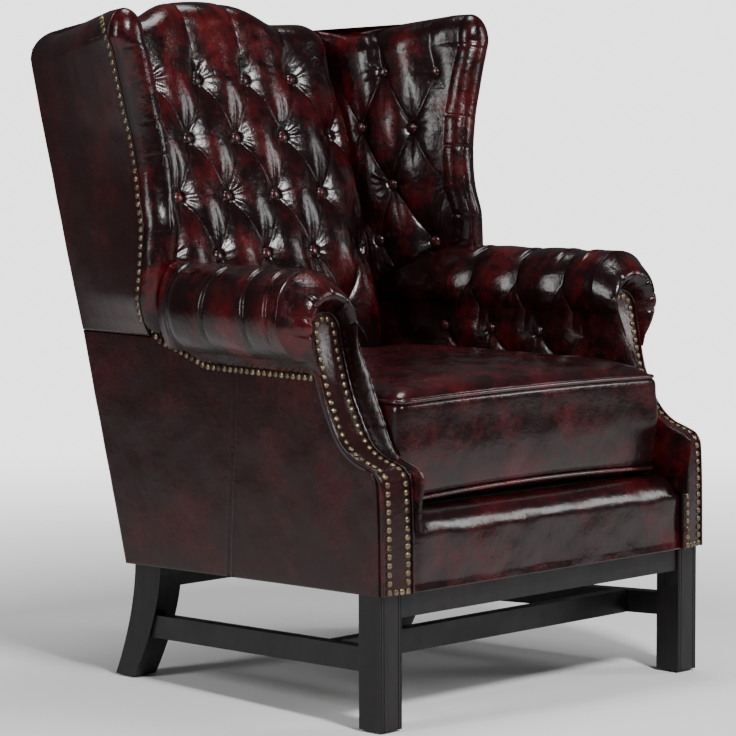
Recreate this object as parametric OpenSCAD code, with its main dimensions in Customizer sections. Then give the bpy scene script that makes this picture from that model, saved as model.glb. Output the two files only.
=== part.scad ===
/* [Legs and stretchers] */
// Distance across the outer faces of the front legs
leg_span = 700; // [660:1:760]
// Side of the square front leg
leg_square = 43; // [38:1:52]
// Height of the front leg up to the leather
front_leg_h = 196; // [170:1:230]
// Drop of the leather's lower edge from front to back
edge_drop = 14; // [6:1:24]
// How far a rear leg stands inside the front leg
rear_leg_inset = 44; // [30:1:60]
// Width of a rear leg from side to side
rear_leg_w = 44; // [36:1:52]
// Depth of a rear leg at its top
rear_leg_top = 58; // [50:1:66]
// Depth of a rear leg at its foot
rear_foot = 43; // [34:1:50]
// How far the rear foot kicks back from the top of the leg
rear_kick = 63; // [40:1:90]
// Width of a groove along the front leg's moulded edge
groove_w = 2; // [1:0.5:3]
// Height of the stretchers
stretcher_h = 35; // [28:1:42]
// Thickness of the stretchers
stretcher_t = 22; // [18:1:28]
// Height of the stretchers' underside above the floor, at the front
stretcher_z = 85; // [60:1:100]
// Drop of the side stretchers from front to back
stretcher_drop = 17; // [0:1:24]
// Setback of the cross stretcher behind the front face of the legs
cross_setback = 113; // [80:1:160]
// Height of the stained rails that show below the leather
show_rail_h = 35; // [26:1:44]
// Thickness of the stained rails that show below the leather
show_rail_t = 22; // [18:1:28]
// Length of the tenons on rails and stretchers
tenon = 18; // [10:1:22]
// Thickness of the glides under the legs
glide_t = 3; // [2:0.5:5]

/* [Frame] */
// Thickness of the beech rails
rail_t = 30; // [24:1:34]
// Depth of the seat rails
rail_h = 84; // [70:1:92]
// Width of an arm post from side to side
post_w = 36; // [30:1:38]
// Depth of an arm post from front to back
post_d = 60; // [46:1:70]
// Height of the arm rail
arm_rail_h = 40; // [34:1:46]
// Width of the back stiles
stile_w = 35; // [30:1:38]
// Diameter of the dowels
dowel_d = 10; // [8:1:12]
// Length of the dowels
dowel_l = 50; // [40:1:60]
// Width of the webbing straps
strap_w = 50; // [40:1:60]
// Thickness of the webbing straps
strap_t = 2; // [1:0.5:3]

/* [Seat] */
// Thickness of the padded deck under the cushion
deck_t = 27; // [20:1:34]
// How far the arm's padding reaches in past its facing, at the front
arm_pad = 8; // [6:1:14]
// Height of the loose cushion between its two seams
cushion_h = 142; // [110:1:160]
// Rise of the cushion's crown above its top seam
crown = 28; // [10:1:34]
// Setback of the cushion's front behind the front face of the legs
cushion_setback = 32; // [26:1:50]
// Radius of the piping
piping_r = 3.5; // [2.5:0.5:4.5]
// Height of the front border's top above the rails' top
border_rise = 32; // [24:1:36]

/* [Arms] */
// Radius of the arm's scroll
scroll_r = 69; // [60:1:72]
// Height of the middle of the scroll above the legs
scroll_rise = 385; // [370:1:400]
// How far the middle of the scroll lies outside the middle of the facing
scroll_out = 15; // [8:1:22]
// Width of the nailed facing
facing_w = 52; // [46:1:56]
// Thickness of the nailed facing
facing_t = 10; // [8:1:12]
// How far the top of the facing lies behind its foot
facing_setback = 149; // [120:1:160]
// Height of the facing's top above the legs
facing_rise = 392; // [380:1:410]
// How far the padding beside the facing stands proud of it
band_proud = 22; // [12:1:26]
// Spacing of the buttons and pleats along the arm
arm_pitch = 95; // [85:1:105]
// Depth of the tufts on the arms
arm_tuft = 12; // [6:1:16]

/* [Back and wings] */
// Lean of the back from upright, in degrees
lean = 16; // [12:0.5:18]
// How far the back's side lies inside the front's, on each side
back_inset = 32; // [20:1:40]
// How far the top of the back's rear face lies below the wing's front corner
crest_drop = 1.6; // [-6:0.2:20]
// How much lower the crest is beside its middle
crest_dip = 37; // [10:1:45]
// Radius over the top of the crest and the wings
crest_r = 45; // [36:1:50]
// Depth of the back's padding under its lowest showing buttons
pad_depth = 98; // [90:1:105]
// Distance between two buttons in a row on the back
button_pitch = 104.5; // [95:0.5:110]
// Distance between two rows of buttons on the back
row_pitch = 98; // [90:1:102]
// Depth of the tufts on the back and the wings
tuft = 22; // [12:1:28]
// Height of the wing's front corner above the legs
wing_h = 838; // [810:1:860]
// How far the wing flares out at the top beyond the side
wing_flare = 63; // [30:1:80]
// Distance of the wing's front edge behind the front face of the legs
wing_y = 503; // [490:1:515]
// Radius of the padded roll on the wing's front edge
wing_r = 30; // [26:1:32]
// Thickness of the outside panels
panel_t = 6; // [4:0.5:6]

/* [Buttons and nails] */
// Diameter of a covered button
button_d = 17.5; // [14:0.5:20]
// Thickness of a covered button
button_t = 5; // [4:0.5:7]
// Diameter of a nail's head
nail_d = 9.4; // [8:0.2:11]
// Height of a nail's head
nail_h = 2.8; // [2:0.2:3.6]
// Distance from nail to nail
nail_pitch = 12.6; // [11.4:0.2:14]

/* [Hidden] */

// Running clearance between a soft form and its neighbour
gap = 0.3;
// Overrun of every cut
over = 1;
// Rounding facets of the exact round parts
round_fn = 32;

// Half widths of the front, the facings' middles, the seat, the scrolls and the back
side_clear = 2;
side_half = leg_span / 2 + side_clear;
facing_half = side_half - facing_w / 2;
seat_half = facing_half - facing_w / 2 - arm_pad;
scroll_half = facing_half + scroll_out;
back_half = side_half - back_inset;
rear_leg_span = leg_span - 2 * rear_leg_inset;

// Heights above the floor
scroll_z = front_leg_h + scroll_rise;
facing_top = front_leg_h + facing_rise;
wing_top = front_leg_h + wing_h;
// The side's level seam, and the lowest line of its nails
seam_rise = 339;
nail_rise = 309;
seam_z = front_leg_h + seam_rise;
nail_line_z = front_leg_h + nail_rise;

// The back's plane passes through this point: its foot at the leather's lower edge
foot_y = 572;
foot_z = front_leg_h - edge_drop + 2 * gap;
crest_u = (wing_top - crest_drop - foot_z) / cos(lean);
// Middle of the whole chair from front to back, which is moved to the origin
middle_y = 389.6;

// Colours of the leather, the stained wood, the beech, the nails and the cloth
hide = [0.24, 0.05, 0.06];
hide_deep = [0.18, 0.04, 0.05];
stain = [0.05, 0.045, 0.045];
beech = [0.80, 0.66, 0.47];
nail_brass = [0.62, 0.50, 0.30];
jute = [0.66, 0.56, 0.40];
cloth = [0.10, 0.10, 0.10];

// Points and smooth steps

function step_up(t) = let (c = min(1, max(0, t))) c * c * (3 - 2 * c);
function mix(a, b, t) = a + (b - a) * t;

// A point of the back, u up its lean and n forward from its rear face
function back_y(u, n) = foot_y + u * sin(lean) - n * cos(lean);
function back_z(u, n) = foot_z + u * cos(lean) + n * sin(lean);
// The height up the lean of a point at height z and depth n
function lean_u(z, n) = (z - foot_z - n * sin(lean)) / cos(lean);
function back_y_at(z, n) = back_y(lean_u(z, n), n);

// The leather's lower edge is level over the front leg and falls evenly behind it
function edge_z(y) = front_leg_h - edge_drop * max(0, y - leg_square) / (foot_y - leg_square);

// The outer side tapers in towards the back
side_taper = (side_half - back_half) / back_y_at(seam_z, 0);
side_angle = atan(side_taper);
function side_x(y) = side_half - side_taper * y;

// Inner wall of the arms, which tapers in a little more
inner_taper_share = 0.085;
function wall_x(y) = seat_half - inner_taper_share * y;

// Curve of the facing, as shares of its setback and its height
facing_proud = 12;
facing_foot_y = -facing_proud;
facing_foot_z = front_leg_h + 1;
facing_curve_shares = [
    [0, 0], [0.007, 0.238], [0.027, 0.404], [0.081, 0.442], [0.215, 0.464], [0.349, 0.480],
    [0.497, 0.514], [0.617, 0.565], [0.718, 0.634], [0.805, 0.703], [0.879, 0.785],
    [0.940, 0.864], [0.980, 0.939], [1, 1]
];
facing_curve = [for (s = facing_curve_shares)
    [facing_foot_y + facing_setback * s[0], mix(facing_foot_z, facing_top, s[1])]];
facing_by_z = [for (p = facing_curve) [p[1], p[0]]];
function facing_y(z) = lookup(z, facing_by_z);

// Crest of the back: a flat hump in the middle and low shoulders
crest_hump_share = 0.36;
function crest_at(x) = crest_u - crest_dip * (1 - exp(-pow(x / (crest_hump_share * back_half), 4)));

// Half width of the back between the creases where the wings and the arms begin
crease_u = crest_u / 2;
crease_n = 34;
crease_grow_share = 0.085;
function crease_x(u) = wall_x(back_y(min(u, crease_u), crease_n)) - 2 * gap
    + crease_grow_share * max(0, u - crease_u);

// Rows of buttons on the back
row_count = 4;
crest_free = 140;
top_row_u = crest_u - crest_free;
low_row_u = top_row_u - (row_count - 1) * row_pitch;

// Depth of the back's padding under its buttons, thinner towards the crest and the seat
thin_up_share = 0.09;
thin_down_share = 0.11;
function button_n(u) = pad_depth - thin_up_share * max(0, u - low_row_u)
    - thin_down_share * max(0, low_row_u - u);

// Height of a diamond tuft: a and b count the pleats that cross at each button
soft_power_share = 0.7;
function diamond(a, b) = let (p = abs(sin(180 * a)), q = abs(sin(180 * b)))
    (pow(max(p, q), soft_power_share) + sqrt(p * q)) / 2;
// Height of an upright channel between two pleats
function channel(a) = let (p = abs(sin(180 * a))) (pow(p, soft_power_share) + p) / 2;
// Rounding of an edge: 0 beyond the reach, falling to -1 at the edge itself
function edge_round(d, reach) = let (t = 1 - min(1, max(0, d / reach))) sqrt(1 - t * t) - 1;

// Front of the back's padding above its button depth
shallow_share = 0.45;
fade_u = 60;
edge_reach = 28;
edge_fall = 26;
function back_tuft(x, u) = let (a = x / button_pitch + 1 / 2, b = (u - top_row_u) / (2 * row_pitch))
    u <= top_row_u ? diamond(a + b, a - b)
    : mix(channel(a), 1, shallow_share * step_up((u - top_row_u) / fade_u));
function back_front(x, u) = button_n(u) + tuft * back_tuft(x, u)
    + edge_fall * edge_round(crease_x(u) - abs(x), edge_reach);

// Frame planes of the back, measured forward from its rear face
frame_back_n = panel_t + gap;
frame_front_n = frame_back_n + rail_t;
pad_n = frame_front_n + strap_t / 2 + gap;

// The wing: how far its front edge flares and waves, by shares of its height above the side seam
wing_rise = wing_top - seam_z;
flare_shares = [[0, -0.3], [0.05, 0], [0.13, 0.26], [0.32, 0.19], [0.46, 0.13], [0.6, 0.24], [0.69, 0.41],
    [0.78, 0.6], [0.87, 0.81], [0.94, 1], [1, 1.05]];
wave_shares = [[0, 0], [0.13, 0.75], [0.23, 0.96], [0.32, 1], [0.41, 0.58], [0.51, 0.33],
    [0.6, 0.17], [0.7, 0], [0.87, 0], [0.94, -0.35], [1, -0.6]];
wing_wave = 24;
function wing_x(z) = side_half + wing_flare * lookup((z - seam_z) / wing_rise, flare_shares);
function wing_front(z) = wing_y - wing_wave * lookup((z - seam_z) / wing_rise, wave_shares);

// Outer side of the wing, from its front edge to the rear corner
function outer_x(y, z) = let (y0 = wing_front(z), y1 = back_y_at(z, 0))
    mix(wing_x(z), back_half, min(1, max(0, (y - y0) / (y1 - y0))));

// Top of the wing's padding, from the crease to the front
root_drop = 25;
rise_end_share = 0.85;
function wing_crown(w) = wing_top - root_drop * (1 - step_up(w / rise_end_share));
function wing_shoulder(w) = wing_crown(w) - crest_r;

// Middle line of the scroll and the wall of the arm's rail
head_y = facing_foot_y + facing_setback;
head_r = facing_w / 2 + 4 * gap;
head_z = facing_top - facing_w / 2;
function scroll_x(y) = scroll_half - side_taper * (y - head_y);
post_x = facing_half - post_w / 2 + gap;
post_top = head_z + head_r / 2;
function arm_rail_x(y) = min(post_x, post_x - side_taper * (y - head_y - post_d));

// Heights and levels of the seat
rail_top = front_leg_h + rail_h;
web_z = rail_top;
deck_z = web_z + 2 * strap_t + gap;
seat_z = deck_z + deck_t;

module placed() {
    translate([0, -middle_y, 0]) children();
}

// Everything on the right side, or its mirror image on the left
module on_side(side) {
    placed() mirror([side < 0 ? 1 : 0, 0, 0]) children();
}

// A frame that leans with the back: x across, y forward as minus n, z up the lean
module leaning() {
    translate([0, foot_y, foot_z]) rotate([-lean, 0, 0]) children();
}

// A block between two corners
module block(low, high) {
    translate(low) cube(high - low);
}

// An outline drawn in y and z, carried from one x to another
module side_plate(x0, x1, outline) {
    translate([x0, 0, 0]) rotate([90, 0, 90]) linear_extrude(x1 - x0) polygon(outline);
}

// A closed solid of triangles whose faces are turned outwards
module solid_of(points, faces) {
    parts = [for (f = faces) points[f[0]] * cross(points[f[1]], points[f[2]])];
    total = parts * [for (p = parts) 1];
    polyhedron(points, total < 0 ? faces : [for (f = faces) [f[2], f[1], f[0]]]);
}

// A skin over a row of rings: each ring goes out along outer_n points and comes back along an
// inner curve, and each end is closed between the two curves
module skin(rings, outer_n, pairs = []) {
    n = len(rings[0]);
    m = len(rings);
    inner_n = n - outer_n;
    function even(i) = round((1 - i / (outer_n - 1)) * (inner_n - 1));
    function partner(i) = outer_n + (len(pairs) > 0 ? pairs[i] : even(i));
    walls = [for (j = [0 : m - 2], i = [0 : n - 1]) let (k = (i + 1) % n, a = j * n, b = a + n)
        each [[a + i, a + k, b + i], [a + k, b + k, b + i]]];
    zip = [for (i = [0 : outer_n - 2]) each concat([[i, i + 1, partner(i)]],
        partner(i + 1) == partner(i) ? [] : [[i + 1, partner(i + 1), partner(i)]])];
    last = (m - 1) * n;
    caps = [for (f = zip) each [[f[2], f[1], f[0]], [f[0] + last, f[1] + last, f[2] + last]]];
    solid_of([for (r = rings) each r], concat(walls, caps));
}

// A round tube along a path, open or closed, with one direction that its sides never face
module tube(path, r, sides, up, closed) {
    m = len(path);
    function at(i) = path[(i + m) % m];
    function ahead(i) = closed || (i > 0 && i < m - 1) ? at(i + 1) - at(i - 1)
        : i == 0 ? at(1) - at(0) : at(m - 1) - at(m - 2);
    rings = [for (i = [0 : m - 1]) let (t = ahead(i) / norm(ahead(i)), s = cross(t, up) / norm(cross(t, up)),
        v = cross(s, t))
        [for (k = [0 : sides - 1]) let (a = 360 * k / sides) at(i) + r * (cos(a) * s + sin(a) * v)]];
    spans = closed ? m - 1 : m - 2;
    walls = [for (j = [0 : spans], i = [0 : sides - 1])
        let (k = (i + 1) % sides, a = j * sides, b = ((j + 1) % m) * sides)
        each [[a + i, a + k, b + i], [a + k, b + k, b + i]]];
    last = (m - 1) * sides;
    ends = closed ? [] : concat([for (i = [1 : sides - 2]) [0, i + 1, i]],
        [for (i = [1 : sides - 2]) [last, last + i, last + i + 1]]);
    solid_of([for (r = rings) each r], concat(walls, ends));
}

// Outlines of the frame, in y and z

leg_x = leg_span / 2 - leg_square;
rear_x = rear_leg_span / 2 - rear_leg_w;
rear_y = foot_y - rear_leg_top - 2 * gap;
show_z = front_leg_h - show_rail_h;
show_setback = 4;
shoulder = 4;
bore_d = dowel_d + gap;
curve_steps = 10;
kick_power_share = 1.75;

// The rear leg sweeps back towards its foot
function sweep(t) = pow(t, kick_power_share);
rear_kick_back = rear_kick + rear_foot - rear_leg_top;
function rear_edge(y, kick) = [for (i = [0 : curve_steps]) let (t = i / curve_steps)
    [y + kick * sweep(t), mix(edge_z(y), glide_t, t)]];
function backwards(list) = [for (i = [len(list) - 1 : -1 : 0]) list[i]];
rear_outline = concat(rear_edge(rear_y, rear_kick),
    backwards(rear_edge(rear_y + rear_leg_top, rear_kick_back)));

// The side stretcher runs from the front leg's rear face to the rear leg
stretcher_x = leg_span / 2 - show_setback - stretcher_t / 2;
stretcher_end_x = rear_leg_span / 2 - show_setback - stretcher_t / 2;
stretcher_end_y = rear_y + rear_kick * sweep(1 / 2);
stretcher_run = stretcher_end_y - leg_square;
stretcher_turn = atan((stretcher_x - stretcher_end_x) / stretcher_run);
stretcher_l = norm([stretcher_x - stretcher_end_x, stretcher_run]);
function stretcher_low(y) = stretcher_z - stretcher_drop * y / stretcher_l;

// The back of the facing and the board behind it, square to the facing's curve
function curve_normal(i) = let (a = facing_curve[max(0, i - 1)],
    b = facing_curve[min(len(facing_curve) - 1, i + 1)], d = (b - a) / norm(b - a)) [d[1], -d[0]];
function facing_back(depth) = [for (i = [0 : len(facing_curve) - 1])
    facing_curve[i] + depth * curve_normal(i)];
post_front = [for (p = facing_back(facing_t + 3 / 2)) if (p[1] < post_top) p];
post_front_top = post_front[len(post_front) - 1];
post_outline = concat([[post_front[0][0], front_leg_h]], post_front,
    [[post_front_top[0], post_top], [post_front_top[0] + post_d, post_top]],
    [for (p = backwards(post_front)) p + [post_d, 0]], [[post_front[0][0] + post_d, front_leg_h]]);
post_rear_y = post_front_top[0] + post_d;
low_post_rear_y = post_front[0][0] + post_d;
arm_rail_y = post_rear_y + gap;
arm_rail_z = post_top - arm_rail_h;
arm_rail_w = post_w - 12;
post_by_z = [for (p = post_front) [p[1], p[0]]];
function post_rear(z) = lookup(z, post_by_z) + post_d;

// Legs, stretchers and show rails

// A side stretcher's own frame: x across, y from the front leg to the rear leg
module along_stretcher() {
    translate([stretcher_x, leg_square, 0]) rotate([0, 0, stretcher_turn]) children();
}

module stretcher_tenon(y0, y1, slack) {
    half = stretcher_t / 2 - shoulder + slack;
    side_plate(-half, half, [
        [y0, stretcher_low(y0) + shoulder - slack], [y1, stretcher_low(y1) + shoulder - slack],
        [y1, stretcher_low(y1) + stretcher_h - shoulder + slack],
        [y0, stretcher_low(y0) + stretcher_h - shoulder + slack]
    ]);
}

module rear_leg_body(slack) {
    side_plate(rear_x - slack, rear_x + rear_leg_w + slack, rear_outline);
}

module dowel_holes(places) {
    for (p = places) translate(p) cylinder(h = dowel_l + gap, d = bore_d, center = true, $fn = round_fn);
}

front_dowels = [for (k = [1, 3]) [post_x + 3 * post_w / 4, k * leg_square / 4, front_leg_h]];
rear_dowels = [[rear_x + 3 * rear_leg_w / 4, rear_y + rear_leg_top / 5, edge_z(rear_y)],
    [rear_x + 3 * rear_leg_w / 4, rear_y + 3 * rear_leg_top / 4, edge_z(rear_y)]];

// A rail's tenon, or the mortise for it
module show_tenon(x, y, z, slack) {
    block([x - tenon - slack, y + shoulder - slack, z + shoulder - slack],
        [x + tenon + slack, y + show_rail_t - shoulder + slack, z + show_rail_h - shoulder + slack]);
}

module front_leg(side) {
    color(stain) on_side(side) difference() {
        block([leg_x, 0, glide_t], [leg_x + leg_square, leg_square, front_leg_h]);
        for (k = [1, 3.5], x = [leg_x + k * groove_w, leg_x + leg_square - k * groove_w])
            translate([x, 0, 0]) cylinder(h = 3 * front_leg_h, d = groove_w, center = true, $fn = round_fn);
        show_tenon(leg_x, show_setback, show_z, gap);
        along_stretcher() stretcher_tenon(-tenon - gap, over, gap);
        dowel_holes(front_dowels);
    }
}

module rear_leg(side) {
    color(stain) on_side(side) difference() {
        rear_leg_body(0);
        show_tenon(rear_x, rear_show_y, rear_show_z, gap);
        along_stretcher() stretcher_tenon(stretcher_l - tenon, stretcher_l + tenon, gap);
        dowel_holes(rear_dowels);
    }
}
rear_show_y = rear_y + shoulder;
rear_show_z = edge_z(rear_y + rear_leg_top) - show_rail_h;

module leg_glides() {
    color("silver") for (side = [-1, 1]) on_side(side) {
        translate([leg_x + leg_square / 2, leg_square / 2, 0])
            cylinder(h = glide_t, d = leg_square / 2, $fn = round_fn);
        translate([rear_x + rear_leg_w / 2, rear_y + rear_kick + rear_foot / 2, 0])
            cylinder(h = glide_t, d = rear_foot / 2, $fn = round_fn);
    }
}

module leg_dowels() {
    color(beech) for (side = [-1, 1], p = concat(front_dowels, rear_dowels))
        on_side(side) translate(p) cylinder(h = dowel_l, d = dowel_d, center = true, $fn = round_fn);
}

module show_rail(half, y, z) {
    color(stain) placed() {
        block([-half, y, z], [half, y + show_rail_t, z + show_rail_h]);
        for (side = [-1, 1]) block(
            [side * half - tenon, y + shoulder, z + shoulder],
            [side * half + tenon, y + show_rail_t - shoulder, z + show_rail_h - shoulder]);
    }
}

module front_show_rail() {
    show_rail(leg_x, show_setback, show_z);
}

module rear_show_rail() {
    show_rail(rear_x, rear_show_y, rear_show_z);
}

module side_stretcher(side) {
    color(stain) on_side(side) {
        difference() {
            along_stretcher() side_plate(-stretcher_t / 2, stretcher_t / 2, [
                [-shoulder, stretcher_low(-shoulder)],
                [stretcher_l + tenon, stretcher_low(stretcher_l + tenon)],
                [stretcher_l + tenon, stretcher_low(stretcher_l + tenon) + stretcher_h],
                [-shoulder, stretcher_low(-shoulder) + stretcher_h]
            ]);
            block([leg_x, -over, 0], [leg_x + leg_square + over, leg_square, front_leg_h]);
            side_plate(rear_x - over, rear_x + rear_leg_w + over,
                concat(rear_edge(rear_y, rear_kick),
                backwards(rear_edge(rear_y + 2 * rear_leg_top, rear_kick_back))));
            cross_tenon(gap);
        }
        along_stretcher() {
            stretcher_tenon(-tenon, shoulder, 0);
            stretcher_tenon(stretcher_l - shoulder, stretcher_l + tenon - gap, 0);
        }
    }
}

// The cross stretcher meets the side stretchers a little behind the front legs
cross_rear_y = cross_setback + stretcher_t;
cross_x = stretcher_x - stretcher_t / 2 - gap - (cross_rear_y - leg_square) * tan(stretcher_turn);
cross_z = stretcher_low(cross_setback + stretcher_t / 2 - leg_square);
cross_tenon_l = stretcher_t / 2;

module cross_tenon(slack) {
    block([cross_x - over, cross_setback + shoulder - slack, cross_z + shoulder - slack],
        [cross_x + cross_tenon_l + slack, cross_setback + stretcher_t - shoulder + slack,
        cross_z + stretcher_h - shoulder + slack]);
}

module cross_stretcher() {
    color(stain) placed() {
        block([-cross_x, cross_setback, cross_z],
            [cross_x, cross_setback + stretcher_t, cross_z + stretcher_h]);
        for (side = [-1, 1]) mirror([side < 0 ? 1 : 0, 0, 0]) cross_tenon(0);
    }
}

// Hidden frame

seat_rail_y = post_front[0][0] + shoulder;
back_rail_y = rear_y - rail_t / 4;
side_rail_x = panel_t + gap + rail_t;

module seat_front_rail() {
    half = post_x - gap;
    color(beech) placed() block([-half, seat_rail_y, front_leg_h], [half, seat_rail_y + rail_t, rail_top]);
}

module seat_back_rail() {
    half = side_x(back_rail_y + rail_t) - side_rail_x - gap;
    low = front_leg_h - shoulder;
    color(beech) placed() block([-half, back_rail_y, low], [half, back_rail_y + rail_t, rail_top]);
}

// A frame turned in with the taper of the side, from a place on the outer side
module tapering(x, y) {
    translate([x, y, 0]) rotate([0, 0, side_angle]) children();
}

module seat_side_rail(side) {
    y0 = post_rear(rail_top) + gap + side_rail_x * sin(side_angle);
    function rear_end(z) = [back_y_at(z, frame_front_n) - gap, z];
    color(beech) on_side(side) difference() {
        tapering(side_half, 0) side_plate(-side_rail_x, -panel_t - gap, [
            [y0, edge_z(y0)], rear_end(edge_z(rear_y)), rear_end(rail_top), [y0, rail_top]
        ]);
        dowel_holes(rear_dowels);
    }
}

block_side = 56;
module corner_blocks() {
    h = rail_h / 2;
    y0 = seat_rail_y + rail_t + gap;
    y1 = back_rail_y - gap;
    x0 = post_x - gap;
    x1 = side_x(y1) - side_rail_x - gap;
    color(beech) for (side = [-1, 1]) on_side(side) translate([0, 0, front_leg_h + shoulder]) {
        linear_extrude(h) polygon([[x0, y0], [x0 - block_side, y0], [x0, y0 + block_side]]);
        linear_extrude(h) polygon([[x1, y1], [x1 - block_side, y1], [x1, y1 - block_side]]);
    }
}

module arm_post(side) {
    color(beech) on_side(side) difference() {
        side_plate(post_x, post_x + post_w, post_outline);
        tapering(side_half, 0) block([-panel_t - gap, -post_d, 0], [post_d, 2 * wing_y, 2 * post_top]);
        dowel_holes(front_dowels);
    }
}

module arm_rail(side) {
    function front_end(z) = [post_rear(z) + shoulder - arm_rail_y, z];
    function rear_end(z) = [back_y_at(z, frame_front_n) - arm_rail_y - (post_w + over) * sin(side_angle), z];
    color(beech) on_side(side) tapering(post_x, arm_rail_y) side_plate(0, arm_rail_w, [
        front_end(arm_rail_z), rear_end(arm_rail_z), rear_end(post_top), [0, post_top]
    ]);
}

// Top of the hidden frame under the crest, at a place across the back
function rail_top_u(x) = crest_at(x) - crest_r;
stile_x = back_half - panel_t - gap - stile_w;
stile_top_u = rail_top_u(back_half) - 2 * gap;

module back_stile(side) {
    function foot(n) = let (z = edge_z(foot_y - n * cos(lean)) + gap) [back_y_at(z, n), z];
    function top(n) = [back_y(stile_top_u, n), back_z(stile_top_u, n)];
    color(beech) on_side(side) difference() {
        side_plate(stile_x, stile_x + stile_w,
            [foot(frame_front_n), foot(frame_back_n), top(frame_back_n), top(frame_front_n)]);
        dowel_holes(rear_dowels);
    }
}

// A board between the stiles, from one height up the lean to another
module back_board(outline) {
    color(beech) placed() leaning() translate([0, -frame_back_n, 0]) rotate([90, 0, 0])
        linear_extrude(rail_t) polygon(outline);
}

crest_rail_h = 70;
crest_points = 24;
module crest_rail() {
    half = stile_x - gap;
    top = [for (i = [0 : crest_points]) let (x = mix(half, -half, i / crest_points))
        [x, rail_top_u(x) - shoulder]];
    back_board(concat(top, [[-half, stile_top_u - crest_rail_h], [half, stile_top_u - crest_rail_h]]));
}

module back_middle_rail() {
    half = stile_x - gap;
    low = crease_u - crest_rail_h;
    back_board([[-half, low], [half, low], [half, crease_u], [-half, crease_u]]);
}

// The wing's post stands on the arm rail and follows the wing's front edge
post_foot_z = post_top + gap;
post_end_share = 0.4;
wing_post_top = wing_shoulder(post_end_share) - 2;
wing_post_d = 32;
wing_post_rows = 12;
wing_post_set = 0.25;
function wing_post_x(z) = mix(arm_rail_x(wing_y) + post_w, wing_x(z) - panel_t - 2,
    step_up((z - post_foot_z) / (2 * arm_rail_h)));
function wing_post_y(z) = wing_front(z) - wing_post_set * wing_post_d;

module wing_post(side) {
    rings = [for (i = [0 : wing_post_rows]) let (z = mix(post_foot_z, wing_post_top, i / wing_post_rows),
        x = wing_post_x(z), y = wing_post_y(z),
        x1 = min(x, outer_x(y + wing_post_d, z) - panel_t - 2))
        [[x - stile_w, y, z], [x, y, z], [x1, y + wing_post_d, z], [x - stile_w, y + wing_post_d, z]]];
    color(beech) on_side(side) skin(rings, 2);
}

rail_near_share = 0.8;
rail_far_share = 0;
module wing_rail(side) {
    function face(y, z, k) = [outer_x(y, z) - panel_t - shoulder - k * rail_t, y, z];
    function front(z, k) = face(wing_post_y(z) + wing_post_d + 3, z, k);
    function rear(z, k) = face(back_y_at(z, frame_front_n) - 1, z, k);
    top1 = wing_post_top - 3 * shoulder;
    top0 = wing_shoulder(0) - 3 * shoulder;
    function ring(z0, z1, k) = [front(z0 - rail_t, k), front(z0, k), rear(z1, k), rear(z1 - rail_t, k)];
    color(beech) on_side(side) skin([ring(top1, top0, rail_near_share), ring(top1, top0, rail_far_share)], 2);
}

// Webbing, deck, border and the cover underneath

module strap_row(count, first, last, low, high) {
    for (i = [0 : count - 1]) let (x = mix(first, last, i / (count - 1)))
        block([x - strap_w / 2, low[0], low[1]], [x + strap_w / 2, high[0], high[1]]);
}

module seat_webbing() {
    color(jute) placed() strap_row(4, -seat_half / 2, seat_half / 2,
        [seat_rail_y + shoulder, web_z], [back_rail_y + rail_t - shoulder, web_z + strap_t]);
}

module cross_webbing() {
    half = side_x(back_rail_y) - side_rail_x;
    color(jute) placed() for (i = [1 : 4]) let (y = mix(seat_rail_y, back_rail_y, i / 5))
        block([-half, y - strap_w / 2, web_z + strap_t], [half, y + strap_w / 2, web_z + 2 * strap_t]);
}

module back_webbing() {
    low = crease_u - strap_w;
    high = stile_top_u - strap_w;
    color(jute) placed() leaning() for (i = [-1 : 1])
        block([2 * i * strap_w - strap_w / 2, -frame_front_n - strap_t / 2, low],
            [2 * i * strap_w + strap_w / 2, -frame_front_n, high]);
}

border_back = 42;
module seat_deck() {
    y1 = back_rail_y + rail_t;
    color(cloth) placed() translate([0, 0, deck_z]) linear_extrude(deck_t - gap) polygon([
        [wall_x(border_back) - gap, border_back], [wall_x(y1) - gap, y1],
        [gap - wall_x(y1), y1], [gap - wall_x(border_back), border_back]
    ]);
}

border_round = 25;
module front_border() {
    front = facing_foot_y - over;
    top = rail_top + border_rise - 3 * gap;
    back = seat_rail_y - gap;
    turn = [for (i = [0 : curve_steps]) let (a = 90 * i / curve_steps)
        [front + border_round * (1 - cos(a)), top - border_round * (1 - sin(a))]];
    lip = border_back - gap;
    color(hide) placed() {
        half = facing_half - facing_w / 2 - gap;
        side_plate(-half, half, concat([[front, facing_foot_z]], [[front, deck_z - gap]],
            [[back, deck_z - gap], [back, facing_foot_z]]));
        inner = wall_x(lip) - gap;
        side_plate(-inner, inner, concat([[front, deck_z - gap]], turn,
            [[lip, top], [lip, deck_z], [back, deck_z], [back, deck_z - gap]]));
    }
}

cover_t = 1.5;
module dust_cover() {
    y0 = leg_square + gap;
    y1 = rear_y - gap;
    half = side_x(y1) - side_rail_x + rail_t / 2;
    color(cloth) placed() side_plate(-half, half, [
        [y0, edge_z(y0) - gap - cover_t], [y1, edge_z(y1) - gap - cover_t],
        [y1, edge_z(y1) - gap], [y0, edge_z(y0) - gap]
    ]);
}

// Back

// Rows up the back, from the seat to the roll over the crest
back_low_u = top_row_u - 25 * row_pitch / 4;
roll_steps = 7;
column_share = 1 / 6;
back_columns = 12;
back_inner = 9;

function column_x(i, u) = let (k = i - back_columns - 2, edge = back_columns * button_pitch * column_share)
    abs(k) <= back_columns ? k * button_pitch * column_share
    : sign(k) * mix(edge, crease_x(u), (abs(k) - back_columns) / 2);

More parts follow.
